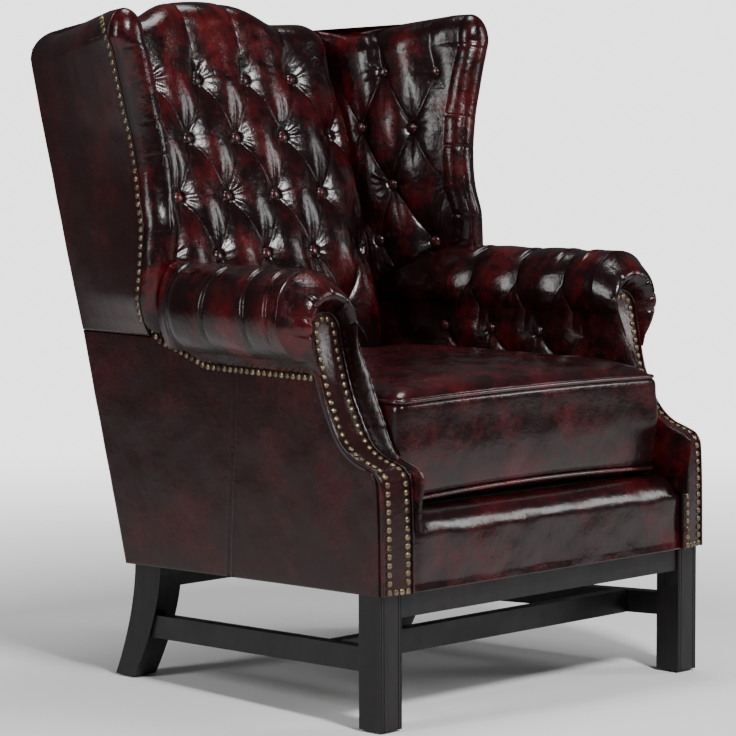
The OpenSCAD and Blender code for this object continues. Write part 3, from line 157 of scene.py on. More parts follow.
# %%
def tube(path, r, sides=8, closed=False, up=(0, 0, 1)):
    """Rings of radius r square to a path p: p + r (cos a s + sin a v), s = t x up, v = s x t."""
    path = np.asarray(path, float)
    ahead = np.roll(path, -1, 0) - np.roll(path, 1, 0)
    if not closed:
        ahead[0], ahead[-1] = path[1] - path[0], path[-1] - path[-2]
    t = ahead / np.linalg.norm(ahead, axis=1)[:, None]
    s = np.cross(t, up)
    s /= np.linalg.norm(s, axis=1)[:, None]
    v = np.cross(s, t)
    a = np.linspace(0, 2 * np.pi, sides, endpoint=False)[None, :, None]
    rings = path[:, None] + r * (np.cos(a) * s[:, None] + np.sin(a) * v[:, None])
    return np.concatenate([rings, rings[:1]]) if closed else rings


SIDES = ((-1, "left"), (1, "right"))


def mirror(points, side):
    """Points of the right side, or their mirror image in x."""
    return np.asarray(points, float) * [side, 1, 1]


def pair(name, rings, rub=None, n_out=None):
    """The left and the right piece of one name, keyed by the sign of x."""
    return {s: loft(f"{side}_{name}", mirror(rings, s), rub, n_out) for s, side in SIDES}


def step(t):
    """Smooth step: t^2 (3 - 2t) on 0 to 1."""
    t = np.clip(t, 0, 1)
    return t * t * (3 - 2 * t)


def mix(a, b, t):
    """From a to b: a + (b - a) t."""
    return a + (b - a) * t


def smooth_curve(xs, ys):
    """Monotone cubic through points: f(x) on each span from the limited slopes at its ends."""
    xs, ys = np.asarray(xs, float), np.asarray(ys, float)
    h, d = np.diff(xs), np.diff(ys) / np.diff(xs)
    inner = np.where(d[:-1] * d[1:] > 0, 2 * d[:-1] * d[1:] / (d[:-1] + d[1:] + 1e-12), 0)
    m = np.concatenate([[d[0]], inner, [d[-1]]])

    def at(x):
        x = np.clip(np.asarray(x, float), xs[0], xs[-1])
        i = np.clip(np.searchsorted(xs, x) - 1, 0, len(h) - 1)
        t = (x - xs[i]) / h[i]
        return ((1 + 2 * t) * (1 - t) ** 2 * ys[i] + t * (1 - t) ** 2 * h[i] * m[i]
                + t * t * (3 - 2 * t) * ys[i + 1] + t * t * (t - 1) * h[i] * m[i + 1])
    return at


print("half way on a smooth step", float(step(0.5)))

# %% [markdown]
# ## The chair's main curves
# These are the CAD source's named values and formulas, in millimetres, so that each skin lies on the
# solid that it stands for. u runs up the leaning back, and n is the depth in front of it.

# %%
LEAN = math.radians(16)
FOOT_Y, FOOT_Z = 572.0, 182.6
CREST_U, CREST_DIP, CREST_R = 884.0, 37.0, 45.0
BUTTON_PITCH, ROW_PITCH, TUFT, PAD_DEPTH = 104.5, 98.0, 22.0, 98.0
TOP_ROW_U = CREST_U - 140
LOW_ROW_U = TOP_ROW_U - 3 * ROW_PITCH
SEAT_HALF, BACK_HALF, SIDE_HALF, SEAM_Z = 292.0, 320.0, 352.0, 535.0
WING_TOP, WING_FLARE, WING_Y, WING_R, WING_WAVE = 1034.0, 63.0, 503.0, 30.0, 24.0
SCROLL_R, SCROLL_Z, SCROLL_HALF = 69.0, 581.0, 341.0
FACING_W, FACING_FOOT_Y, FACING_FOOT_Z = 52.0, -12.0, 197.0
FACING_SETBACK, FACING_TOP = 149.0, 588.0
ARM_PITCH, ARM_TUFT, ARM_BUTTON_Y, ARM_ROW_Z = 95.0, 12.0, 265.0, 520.0
DECK_Z, SEAT_Z, NAIL_LINE_Z, PANEL_T, PAD_N = 284.3, 311.3, 505.0, 6.0, 37.6


def back_y(u, n):
    """y of the point at u up the lean and n in front of the back: foot + u sin(lean) - n cos(lean)."""
    return FOOT_Y + u * math.sin(LEAN) - n * math.cos(LEAN)


def back_z(u, n):
    """z of the same point: foot + u cos(lean) + n sin(lean)."""
    return FOOT_Z + u * math.cos(LEAN) + n * math.sin(LEAN)


def lean_u(z, n):
    """The u that lies at height z, n in front of the back."""
    return (z - FOOT_Z - n * math.sin(LEAN)) / math.cos(LEAN)


def back_y_at(z, n):
    """y of the back at height z, n in front of it."""
    return back_y(lean_u(z, n), n)


SIDE_TAPER = (SIDE_HALF - BACK_HALF) / back_y_at(SEAM_Z, 0)


def side_x(y):
    """Half width of the seat's outer side, which narrows evenly to the rear."""
    return SIDE_HALF - SIDE_TAPER * y


WALL_TAPER = 0.085


def wall_x(y):
    """Half width between the arms: SEAT_HALF less the taper times y."""
    return SEAT_HALF - WALL_TAPER * y


def crest_at(x):
    """Crest height: a flat hump exp(-(x / 0.36 h)^4) in the middle."""
    return CREST_U - CREST_DIP * (1 - np.exp(-(x / (0.36 * BACK_HALF)) ** 4))


def crease_x(u):
    """Half width of the inside back: along the arms' walls to its middle, and wider again above."""
    knee = CREST_U / 2
    return wall_x(back_y(np.minimum(u, knee), 34)) - 0.6 + WALL_TAPER * np.maximum(0, u - knee)


print("side taper", round(SIDE_TAPER, 4), "crease", round(float(crease_x(300)), 1))

# %% [markdown]
# ### Tufts, gathers and creases
# Deep buttoning pulls the hide down at each button and along the diagonals between them. Each diamond is
# a tuft whose height is a formula of two lattice numbers, a and b. Round the button the hide gathers in
# fine folds. Cloth simulation would wrinkle too, but it wouldn't keep the buttons on their marks.

# %%
def button_n(u):
    """Depth of the buttons' own surface, which thins out above and below the lowest row."""
    return PAD_DEPTH - 0.09 * np.maximum(0, u - LOW_ROW_U) - 0.11 * np.maximum(0, LOW_ROW_U - u)


def diamond(a, b):
    """Tuft height (max(p, q)^0.7 + sqrt(p q)) / 2 with p = |sin pi a|, q = |sin pi b|."""
    p, q = np.abs(np.sin(np.pi * a)), np.abs(np.sin(np.pi * b))
    return (np.maximum(p, q) ** 0.7 + np.sqrt(p * q)) / 2


def channel(a):
    """Pleat height (p^0.7 + p) / 2 with p = |sin pi a|."""
    p = np.abs(np.sin(np.pi * a))
    return (p ** 0.7 + p) / 2


def gather(a, b, wide, high):
    """Wrinkles cos(9 t) + 0.7 cos(14 t) round each button, in a band exp(-((r - 20) / 12)^2), and r."""
    s, t = np.round(a + b), np.round(a - b)
    dx, dz = (a - (s + t) / 2) * wide, (b - (s - t) / 2) * high
    r, angle = np.hypot(dx, dz), np.arctan2(dz, dx)
    fold = np.cos(9 * angle + 2.1 * s + 1.3 * t) + 0.7 * np.cos(14 * angle + s - 2 * t)
    uneven = 0.5 + 0.5 * np.sin(angle + 1.7 * s + 2.9 * t)
    return fold * uneven * np.exp(-((r - 20) / 12) ** 2), r


def seat_of(r, active):
    """Factor from 0.35 at the button to 1 at 12 mm from it, where the cover is drawn down."""
    return np.where(active, 0.35 + 0.65 * step((r - 4) / 8), 1)


def creases(x, z, seed):
    """Slow uneven creasing of the hide, a sum of tilted waves."""
    rng = np.random.default_rng(seed)
    total = np.zeros(np.broadcast(x, z).shape)
    for length in (170, 110, 70, 45):
        for _ in range(3):
            a, f = rng.uniform(0, np.pi), rng.uniform(0, 2 * np.pi)
            total += length / 170 * np.sin(2 * np.pi * (x * np.cos(a) + z * np.sin(a)) / length + f)
    return total / 3


print("tuft height at a button and between", diamond(0, 0), round(float(diamond(0.5, 0.5)), 2))

# %% [markdown]
# ### The wings' and facings' outlines
# A wing leans out, waves in and out along its front and falls to the rear. The facing is an S: flat at
# the foot and round at the head. Each outline is a smooth curve through measured shares of its height.

# %%
wing_share = [0, 0.05, 0.13, 0.32, 0.46, 0.6, 0.69, 0.78, 0.87, 0.94, 1]
flare = smooth_curve(wing_share, [-0.3, 0, 0.26, 0.19, 0.13, 0.24, 0.41, 0.6, 0.81, 1, 1.05])
wave = smooth_curve([0, 0.13, 0.23, 0.32, 0.41, 0.51, 0.6, 0.7, 0.87, 0.94, 1],
                    [0, 0.75, 0.96, 1, 0.58, 0.33, 0.17, 0, 0, -0.35, -0.6])


def wing_x(z):
    """Half width of the wing's front edge: the side, plus the flare's share."""
    return SIDE_HALF + WING_FLARE * flare((z - SEAM_Z) / (WING_TOP - SEAM_Z))


def wing_front(z):
    """y of the wing's front edge: WING_Y less the wave's share."""
    return WING_Y - WING_WAVE * wave((z - SEAM_Z) / (WING_TOP - SEAM_Z))


def outer_x(y, z):
    """x of the wing's outer side: a straight line from its front edge to the back's corner."""
    y0, y1 = wing_front(z), back_y_at(z, 0)
    return mix(wing_x(z), BACK_HALF, np.clip((y - y0) / (y1 - y0), 0, 1))


shoulder_drop = smooth_curve([0, 0.2, 0.27, 0.39, 0.55, 0.81, 0.93, 1], [32, 37, 39, 37, 28, 15, 9, 8])


def wing_shoulder(w):
    """Height where the round top begins, at share w from the back to the front edge."""
    return WING_TOP - shoulder_drop(w) - CREST_R


facing_shares = np.array([[0, 0], [0.007, 0.238], [0.027, 0.404], [0.081, 0.442], [0.215, 0.464],
                          [0.349, 0.480], [0.497, 0.514], [0.617, 0.565], [0.718, 0.634], [0.805, 0.703],
                          [0.879, 0.785], [0.940, 0.864], [0.980, 0.939], [1, 1]])
facing_curve = np.stack([FACING_FOOT_Y + FACING_SETBACK * facing_shares[:, 0],
                         mix(FACING_FOOT_Z, FACING_TOP, facing_shares[:, 1])], 1)
facing_y = smooth_curve(facing_curve[:, 1], facing_curve[:, 0])


def facing_wide(z):
    """Share of the facing's width: slimmer at the foot, wider at the round head."""
    return mix(0.96, 1.12, step((z - 440) / 110))


def facing_turn(z):
    """How far the facing turns outwards (y per x), which fades to a small turn inwards at the head."""
    return mix(0.158, -0.05, step((z - 430) / 120))


FACING_HALF = SIDE_HALF - FACING_W / 2
HEAD_Y, HEAD_Z = FACING_FOOT_Y + FACING_SETBACK, FACING_TOP - FACING_W / 2


def scroll_x(y):
    """x of the arm scroll's centre, which follows the side's taper."""
    return SCROLL_HALF - SIDE_TAPER * (y - HEAD_Y)


nail_z = smooth_curve([0, 300, 377, 413, 443, 475, 494, 503], [500, 501, 502, 514, 524, 532, 544, 557])
print("wing at its top", round(float(wing_x(WING_TOP)), 1), "facing head", HEAD_Y, HEAD_Z)

# %% [markdown]
# ## Inside back
# The real cover is one hide, drawn down by 18 buttons over thick stuffing: deep diamond tufts up to the
# top row, and upright pleats from there over the crest. It is a height field n(x, u) on the leaning back,
# because a formula keeps every fold sharp and in its place.

# %%
def edge_round(d, reach):
    """A quarter circle's fall at an edge: sqrt(1 - t^2) - 1 with t = 1 - d / reach."""
    t = 1 - np.clip(d / reach, 0, 1)
    return np.sqrt(1 - t * t) - 1


def back_front(x, u, fine=True):
    """Depth n(x, u): the pad, its tufts, the fine gathers round each button and the rounded edges."""
    a, b = x / BUTTON_PITCH + 0.5, (u - TOP_ROW_U) / (2 * ROW_PITCH)
    above = u > TOP_ROW_U
    a = a - np.where(above, 0, 0.045 * np.sin(2 * np.pi * b) ** 2)
    lift = step((u - TOP_ROW_U) / 60)
    pleat = 1 - (1 - channel(a)) * (1 - 0.45 * lift)
    wrinkle, r = gather(a, b, BUTTON_PITCH, 2 * ROW_PITCH)
    h = np.where(above, pleat, diamond(a + b, a - b)) * seat_of(r, u < TOP_ROW_U + ROW_PITCH / 2)
    n = button_n(u) + TUFT * h + 26 * edge_round(crease_x(u) - np.abs(x), 28)
    if fine:
        n = n + 0.6 * wrinkle * (u < TOP_ROW_U + 30) + 0.8 * creases(x, u, 5) * h
    return n, h


def bend(x, n, u):
    """The point at x, u and n of the leaning back."""
    return np.stack([x, back_y(u, n), back_z(u, n)], -1)


button_depth, _ = back_front(np.array([0.0]), np.array([TOP_ROW_U - ROW_PITCH]))
print("depth at a button", round(float(button_depth[0]), 1))

# %% [markdown]
# ### The back's rings
# Each ring is an upright slice: up the front, half way round the crest's roll and down behind the
# padding. The crest's ends sink 12 mm into the wings. The edges of the side faces stay sharp.

# %%
BACK_COLS, N_ROLL, N_DOWN = 260, 29, 11
CREST_SINK, CREST_SPREAD = 12, 2.4
rows_u = np.linspace(TOP_ROW_U - 25 * ROW_PITCH / 4, CREST_U - CREST_R, 300)
half_top = crease_x(CREST_U - CREST_DIP - CREST_R)
turn = np.linspace(0, np.pi, N_ROLL + 1)[1:]
back_rings, back_wear_and_shade = [], []
for s in np.linspace(-1, 1, BACK_COLS):
    c = float(crest_at(s * half_top)) - CREST_R - CREST_SINK * float(step((abs(s) - 0.8) / 0.2))
    us = np.concatenate([rows_u[rows_u < TOP_ROW_U], np.linspace(TOP_ROW_U, c, 70)])
    xs = s * (crease_x(us) + CREST_SPREAD * step((us - TOP_ROW_U) / 60))
    n, h = back_front(xs, us)
    nt, xt = n[-1] / 2, xs[-1]
    front = bend(xs, n, us)
    roll = bend(np.full(N_ROLL, xt), nt + nt * np.cos(turn), c + CREST_R * np.sin(turn))
    down = np.linspace(c, us[0], N_DOWN + 1)[1:]
    behind = bend(s * crease_x(down), np.full(N_DOWN, PAD_N), down)
    back_rings.append(np.concatenate([front, roll, behind]))
    # The tufts take their height, the crest's roll 0.9, and the padding behind 0, which paints it in full
    # shade.
    back_wear_and_shade.append(np.concatenate([h, np.full(N_ROLL, 0.9), np.zeros(N_DOWN)]))
inside_back = loft("inside_back", back_rings, back_wear_and_shade, len(us) + N_ROLL // 2)
inside_back.data.set_sharp_from_angle(angle=math.radians(65))
print("inside back", len(inside_back.data.polygons), "faces")

# %% [markdown]
# ## Wings
# The wings keep the draught off, and their inner sides are buttoned like the back, with a firm roll at
# the front. A level ring goes along the inner side from the crease, round the front roll and back behind
# the padding.

# %%
WING_PITCH, WING_ROW, WING_TUFT, WING_PHASE = 98.0, 92.0, 17.0, 3.0
WING_TOP_Z = WING_TOP - 104
WING_SHIFT = 26


def wing_root(z, n):
    """Where the wing meets the back: the crease's x, and the back's y at depth n."""
    return crease_x(lean_u(z, n)) + 3.2, back_y_at(z, n)


def wing_ends(z):
    """The inner side's line at height z: x and y in the crease, then at the roll."""
    n0 = button_n(lean_u(z, PAD_DEPTH - 10)) - 10
    x0, y0 = wing_root(z, n0)
    return x0, y0, wing_x(z) - 2 * WING_R, wing_front(z)


def wing_inner(w, z, fine=False):
    """Inner side at share w from crease to roll: a straight line, bulged by 14 sin(pi w), less the tufts."""
    x0, y0, x1, y1 = wing_ends(z)
    length = np.hypot(x1 - x0, y1 - y0)
    dx, dy = (x1 - x0) / length, (y1 - y0) / length
    s = w * length
    p = (s - WING_PHASE + WING_SHIFT * step((WING_TOP_Z - z) / 170)) / WING_PITCH
    q = (z - WING_TOP_Z) / (2 * WING_ROW)
    lift = step((z - WING_TOP_Z) / WING_ROW)
    wrinkle, r = gather(p, q, WING_PITCH, 2 * WING_ROW)
    h = np.where(z <= WING_TOP_Z, diamond(p + q, p - q), channel(p) * (1 - lift) + lift)
    h = h * seat_of(r, z < WING_TOP_Z + WING_ROW / 2)
    fade = np.minimum(1, np.minimum(4 * w, 3 * (1 - w)))
    off = 14 * np.sin(np.pi * w) - WING_TUFT * fade * (1 - h)
    if fine:
        off = off + fade * (0.5 * wrinkle * (z < WING_TOP_Z + 30) + 0.9 * creases(s, z, 8) * h)
    return x0 + dx * s + dy * off, y0 + dy * s - dx * off, h


def scroll_over(x, y):
    """Height just over the arm's scroll, where the wing sits on it: a circle's top, plus 8."""
    d = np.minimum(0, x - scroll_x(y))
    return SCROLL_Z + np.sqrt(np.maximum(0, SCROLL_R ** 2 - d * d)) + 8


WING_PLEATS = [(1003, 1), (974, 0.7), (862, 0.8), (812, 0.9), (700, 0.5)]


def roll_pleat(z, a):
    """Short pleats over the front roll: wells k exp(-((z - c) / 2.8)^2), deepest on the inner side."""
    well = sum(np.exp(-((z + 0.05 * a - c) / 2.8) ** 2) * k for c, k in WING_PLEATS)
    return 1.8 * well * np.clip(1.25 - a / 130, 0, 1)


def arc_point(deg, z, k=1.0):
    """Point on the front roll, from its inner side at 0 degrees to its outer side at 180, shrunk by k."""
    a = np.radians(180 - deg)
    r = WING_R - roll_pleat(z, deg) * k + 0.7 * creases(deg * 1.2, z, 12) * k
    return wing_x(z) - WING_R + k * r * np.cos(a), wing_front(z) - k * r * np.sin(a)


CORNER_W = 0.22


def wing_outer(w, z):
    """Outer side at share w: across the back's corner up to CORNER_W, then along the side to the front."""
    y1, y0 = back_y_at(z, 0), wing_front(z)
    y = mix(y1, y0, np.clip((w - CORNER_W) / (1 - CORNER_W), 0, 1))
    xr = wing_root(z, 0)[0]
    x = np.where(w < CORNER_W, mix(xr, BACK_HALF, np.clip(w / CORNER_W, 0, 1)), outer_x(y, z))
    return x, y


print("wing's inner side", [round(float(v), 1) for v in wing_ends(800.0)])

# %% [markdown]
# ### The wings' rings
# 240 level rings rise from the arm to the shoulder. From there the ring closes over the round top, like a
# hood: each point moves from its own side towards the middle line as the ring climbs a quarter circle.

# %%
INNER_WS = np.array([0.9, 0.74, 0.56, 0.4, CORNER_W, 0.11, 0])
N_WS, N_ARCS, N_LEVEL, N_TOP = 110, 30, 240, 19
ws = np.linspace(0, 1, N_WS)
arcs = np.linspace(0, 180, N_ARCS + 1)[1:]
FOOT_Y_WING, FOOT_Z_WING = 505.0, 650.0
ON_SCROLL_Z, BESIDE_SCROLL_Z = 658, 572


def rear_line(i, z):
    """Hidden rear line of the padding, from the roll's outer edge to the crease."""
    ax, ay = wing_x(z) - 45, wing_front(z) + 32
    bx, by = wing_root(z, PAD_N + 0.3)
    if i == 0:
        return wing_x(z) - PANEL_T - 0.3, wing_front(z)
    if i == 1:
        return wing_x(z) - PANEL_T, wing_front(z) - 16
    if i == 2:
        return ax, wing_front(z) - 16
    return mix(ax, bx, (i - 3) / 3), mix(ay, by, (i - 3) / 3)


def level_ring(t):
    """Ring at share t of the height, from the scroll and the nails up to the shoulder, and its values for
    wear and painted shade.
    """
    foot_z = scroll_over(*wing_inner(ws, np.full(N_WS, FOOT_Z_WING))[:2])
    zi = mix(foot_z, wing_shoulder(ws), t)
    x, y, h = wing_inner(ws, zi, True)
    inner = np.stack([x, y, zi], -1)
    ax, ay = arc_point(arcs, np.full(N_ARCS, FOOT_Y_WING))
    low = np.where(arcs <= 60, ON_SCROLL_Z, np.where(arcs <= 95, BESIDE_SCROLL_Z, nail_z(ay) + 0.3))
    za = mix(low, wing_shoulder(1.0), t)
    ax, ay = arc_point(arcs, za)
    roll = np.stack([ax, ay, za], -1)
    hidden = []
    for i, w in enumerate(INNER_WS):
        low = float(nail_z(WING_Y)) if i < 2 else scroll_over(*rear_line(i, FOOT_Z_WING)) - 4
        z = mix(low, wing_shoulder(w), t)
        x, y = rear_line(i, z)
        hidden.append([float(x), float(y), float(z)])
    # The tufts take their height, the roll 0.95, and the hidden rear line 0, which paints it in full shade.
    rub = np.concatenate([h, np.full(N_ARCS, 0.95), np.zeros(len(INNER_WS))])
    return np.concatenate([inner, roll, hidden]), rub


def over_top(px, py, ox, oy, k, z):
    """Points between the inner side p and the outer side o: their middle, plus k times half way to p."""
    return np.stack([(px + ox) / 2 + k * (px - ox) / 2, (py + oy) / 2 + k * (py - oy) / 2, z], -1)


def top_ring(t):
    """Ring of the round top at angle t: widths times cos t, height plus CREST_R sin t."""
    k, lift = np.cos(t), CREST_R * np.sin(t)
    zs, za, zr = wing_shoulder(ws), wing_shoulder(1.0), wing_shoulder(INNER_WS)
    top = over_top(*wing_inner(ws, zs, True)[:2], *wing_outer(ws, zs), k, zs + lift)
    ax, ay = arc_point(arcs, np.full(N_ARCS, za), k)
    roll = np.stack([ax, ay, np.full(N_ARCS, za + lift)], -1)
    rear = over_top(*wing_outer(INNER_WS, zr), *wing_inner(INNER_WS, zr)[:2], k, zr + lift)
    return np.concatenate([top, roll, rear])


level = [level_ring(t) for t in np.linspace(0, 1, N_LEVEL)]
top = [top_ring(t) for t in np.radians(np.linspace(0, 90, N_TOP + 1)[1:])]
wing_wear_and_shade = [rub for _, rub in level] + [np.full(len(top[0]), 0.9)] * N_TOP
wings = pair("inside_wing", [ring for ring, _ in level] + top, wing_wear_and_shade)
print("wing", len(wings[1].data.polygons), "faces")

# %% [markdown]
# ### The wings' outer leather
# A separate sheet covers the outer side and wraps on over the round top, where it is gathered. It is a
# grid and its copy a little inside, sewn together at the edges.

# %%
def sheet_ring(grid, direction, thick=3.0):
    """Rings of a thin closed sheet: each row of the grid, and back along its copy moved by -thick."""
    grid = np.asarray(grid, float)
    rear = grid - thick * np.asarray(direction, float)
    return np.concatenate([grid, rear[:, ::-1]], 1)


def wing_wrap(w, deg, lift=1.2, out=0.6):
    """Point on the round top, from the outer side at 0 degrees to its ridge at 90."""
    a, zs = np.radians(deg), wing_shoulder(w)
    px, py, _ = wing_inner(w, zs)
    ox, oy = wing_outer(w, zs)
    k = np.cos(a)
    x, y = (px + ox) / 2 + k * (ox - px) / 2 + out, (py + oy) / 2 + k * (oy - py) / 2
    return [x, y, zs + (CREST_R + lift) * np.sin(a)]


def outside_wing_grid():
    """Outer leather: up the side with its gathers to the shoulder, then 66 degrees over the round top."""
    w = np.linspace(0.2, 1, 90)
    t = np.linspace(0, 1, 120)[:, None]
    z = mix(SEAM_Z + 0.3, wing_shoulder(w)[None], t)
    x, y = wing_outer(w[None] + 0 * t, z)
    front = step((1 - w) / 0.06)[None]
    belly = 2.2 * np.sin(np.pi * t) ** 0.6 * front
    along_w = w[None] + 0.10 * (1 - t) * (0.9 - w[None])
    gathers = 1.9 * creases(along_w * 520, 30 * t, 17) * np.exp(-((w[None] - 0.72) / 0.22) ** 2)
    soft = 0.6 * creases(y, z, 3) * np.sin(np.pi * t) + gathers * step((t - 0.55) / 0.45)
    side = np.stack([x + (belly + soft) * front + 0.6, y, z], -1)
    a = np.linspace(0, 66, 24)[1:, None]
    top = np.stack(np.broadcast_arrays(*wing_wrap(w[None], a)), -1)
    top[..., 0] += gathers[-1:] * np.cos(np.radians(a)) ** 0.5 * front
    return np.concatenate([side, top])


outside_wings = pair("outside_wing", sheet_ring(outside_wing_grid(), [1, 0, 0]))
print("outer wing sheet", len(outside_wings[1].data.polygons), "faces")

# %% [markdown]
# ## Arms
# One hide goes up the inner wall, over the scroll and down to the nails, with a row of buttons where the
# wall meets the scroll. So the arm is a section in x and z that is carried from front to back, and its
# tufts and pleats are taken off the section's radius.

# %%
HEAD_R = FACING_W / 2 + 1.2
POST_X = FACING_HALF - 23 + 0.3
POST_TOP = HEAD_Z + HEAD_R / 2
ARM_START_Y, ARM_END_Y = 172, 446.0
ARC_FROM, ARC_TO = 205, -65
N_WALL, N_ARC, N_SKIRT = 70, 120, 13
N_OUT = N_WALL + N_ARC + N_SKIRT
wall_zs = np.linspace(DECK_Z, ARM_ROW_Z, N_WALL)
arc_as = np.linspace(ARC_FROM, ARC_TO, N_ARC)
SCROLL_PLEATS = [190, 240, 325, 418]
ARM_ROW, WALL_FADE_Z = 98, SEAT_Z + 142 - 44


def arm_rail_x(y):
    """x of the arm rail's inner face: beside the post, and then along the side's taper."""
    return np.minimum(POST_X, POST_X - SIDE_TAPER * (y - HEAD_Y - 44))


def arm_wall(y, p):
    """Inner wall: flat below the cushion's top, and half diamonds from there to the row of buttons."""
    v = (wall_zs - ARM_ROW_Z) / (ARM_ROW / 2)
    fade = step((wall_zs - WALL_FADE_Z) / 44) * step((y - 150) / 40)
    wrinkle, r = gather(np.full(N_WALL, p), v / 2, ARM_PITCH, ARM_ROW)
    h = diamond(p + v / 2, p - v / 2) * seat_of(r, np.abs(v) < 0.45)
    x = wall_x(y) + ARM_TUFT * fade * (1 - h) - fade * 0.4 * wrinkle - 0.7 * creases(y, wall_zs, 21)
    return np.stack([x, wall_zs], -1), h * fade + 1 - fade


def arm_scroll(y, p):
    """Scroll: a circle less its tufts and pleats; its outer half is tucked in at the wing."""
    va = np.minimum(1.2, (ARC_FROM - arc_as) / 40 * 0.5 + 0.5)
    h = np.where(va <= 1, diamond(p + va / 2, p - va / 2), channel(p + 0.5))
    depth = mix(1, 0.14, step(((ARC_FROM - arc_as) / 80 - 0.4) / 1.1)) * step((y - 150) / 40 + 0.35)
    girth = SCROLL_R * np.radians(ARC_FROM - arc_as)
    gap = [y + 0.06 * girth - c + 5 * np.sin(girth / 40 + c) for c in SCROLL_PLEATS]
    fold = sum(np.exp(-(d / 2.4) ** 2) - 0.45 * np.exp(-((d - 8) / 6) ** 2) for d in gap)
    over = step((140 - arc_as) / 40) * step((arc_as + 40) / 50)
    r = SCROLL_R - ARM_TUFT * depth * (1 - h) - 2.8 * fold * over + 0.9 * creases(y, girth, 22)
    tuck = mix(1, 0.58, float(step((y - ARM_END_Y + 66) / 66)))
    c = np.cos(np.radians(arc_as))
    x = scroll_x(y) + r * c * np.where(c > 0, tuck, 1)
    return np.stack([x, SCROLL_Z + r * np.sin(np.radians(arc_as))], -1), h


def arm_section(y):
    """Points (x, z) round the arm at y, and each one's value for wear and painted shade: wall, scroll, skirt,
    hidden side.
    """
    y = float(y)
    p = (y - ARM_BUTTON_Y) / ARM_PITCH
    wall, wall_wear_and_shade = arm_wall(y, p)
    arc, arc_wear_and_shade = arm_scroll(y, p)
    nz, sx = float(nail_z(y)) + 0.3, side_x(y)
    t = np.linspace(0, 1, N_SKIRT + 1)[1:, None]
    skirt = arc[-1] + (np.array([sx + 1.5, nz]) - arc[-1]) * t
    rail = arm_rail_x(y) - 0.3
    hidden = [[sx - PANEL_T, nz], [sx - PANEL_T, POST_TOP + 0.3], [rail, POST_TOP + 0.3]]
    hidden += [[rail, z] for z in np.linspace(541, DECK_Z, 24)]
    # The tufts take their height, low in the wells where shade is painted; the skirt and the hidden side get
    # 0.8.
    rub = np.concatenate([wall_wear_and_shade, arc_wear_and_shade, np.full(N_SKIRT + len(hidden), 0.8)])
    return np.concatenate([wall, arc, skirt, hidden]), rub


body0, wear_and_shade0 = arm_section(ARM_START_Y)
print("points in an arm's ring", len(body0))

# %% [markdown]
# ### The arm's front
# Beside its facing the arm swells out like a cushion, and the facing pulls short pleats into its head.
# Rings go from the facing's outline out to the arm's first section, and a sine of the share makes them
# swell.

# %%
def head_section():
    """Outline of the facing where each point of the arm's section gathers into it."""
    a = arc_as
    r = HEAD_R * facing_wide(FACING_TOP)
    near, far = FACING_HALF - r, FACING_HALF + r
    x = np.where(a > 180, near, np.where(a < 0, far, FACING_HALF + r * np.cos(np.radians(a))))
    dome_z = HEAD_Z + HEAD_R * np.sin(np.radians(a))
    z = np.where(a > 180, HEAD_Z - (a - 180) / 25 * 10,
                 np.where(a < 0, mix(HEAD_Z, NAIL_LINE_Z + 14, a / ARC_TO), dome_z))
    t = np.linspace(0, 1, N_SKIRT + 1)[1:]
    skirt = np.stack([np.full(N_SKIRT, far), mix(z[-1], float(nail_z(ARM_START_Y)) + 0.3, t)], -1)
    inner = FACING_HALF - HEAD_R * facing_wide(wall_zs)
    return np.concatenate([np.stack([inner, wall_zs], -1), np.stack([x, z], -1), skirt])


head0 = head_section()
face_i = np.arange(N_OUT)
face_a = np.interp(face_i, [0, N_WALL, N_WALL + N_ARC - 1, N_OUT - 1], [0, ARC_FROM, ARC_TO, -80])
GATHERS = np.array([172, 128, 92, 48, 12, -14])
BAND_WALL, BAND_HEAD = 50.0, 33.0
DOME_DEPTH = 13


def front_ring(f):
    """Ring at share f from the facing's outline q to the arm p: q + (p - q) f, swollen by sin(pi f)."""
    q, p = head0, body0[:N_OUT]
    wall = face_i < N_WALL
    y0 = facing_y(np.minimum(q[:, 1], FACING_TOP))
    wide = np.where(wall[:, None], np.stack([wall_x(y0 + DOME_DEPTH), p[:, 1]], -1),
                    p + [SCROLL_HALF - scroll_x(ARM_START_Y), 0])
    blend = step((face_i - N_WALL + 24) / 60)
    band = np.interp(p[:, 1], [320, 430, 500, 550], [26, BAND_WALL, BAND_WALL, 34])
    proud = mix(band, np.interp(face_a, [-80, 0], [13, BAND_HEAD]), blend)
    groove = sum(np.exp(-((face_a - g) / 2.4) ** 2) for g in GATHERS) * ~wall
    swell = mix(np.sin(np.pi * min(1, f)) ** 0.75, np.sin(np.pi * min(1, f) ** 0.85) ** 1.25, blend)
    y = y0 + 1 + DOME_DEPTH * f - proud * swell + 4.0 * groove * swell * (1 - f) ** 0.5
    gathers = np.cos(0.62 * p[:, 1]) + 0.6 * np.cos(0.37 * p[:, 1] + 1)
    y = y + 0.8 * gathers * wall * math.exp(-((f - 0.25) / 0.2) ** 2)
    y = y + 0.6 * creases(face_a * 1.2, f * 60, 31) * swell
    xz = q + (wide - q) * f
    hidden = body0[N_OUT:].copy()
    hx = np.where(np.arange(len(hidden)) < 2, side_x(130) - PANEL_T, hidden[:, 0])
    hy = facing_y(np.minimum(hidden[:, 1], FACING_TOP)) + 18 + f * 3
    out = np.stack([xz[:, 0], y, xz[:, 1]], -1)
    return np.concatenate([out, np.stack([hx, hy, hidden[:, 1]], -1)])


print("the dome's most forward point", round(float(front_ring(0.5)[:, 1].min()), 1))

# %% [markdown]
# ### The arm's rings
# The rings run from the front dome through the full sections to the back, where the outer half closes off
# in front of the wing.

# %%
RIDGE_I = N_WALL + 50
BODY_STEP = 1.5


def body_ring(y):
    """The arm's section at y as a ring of points, and its values for wear and painted shade."""
    sec, rub = arm_section(y)
    return np.stack([sec[:, 0], np.full(len(sec), float(y)), sec[:, 1]], -1), rub


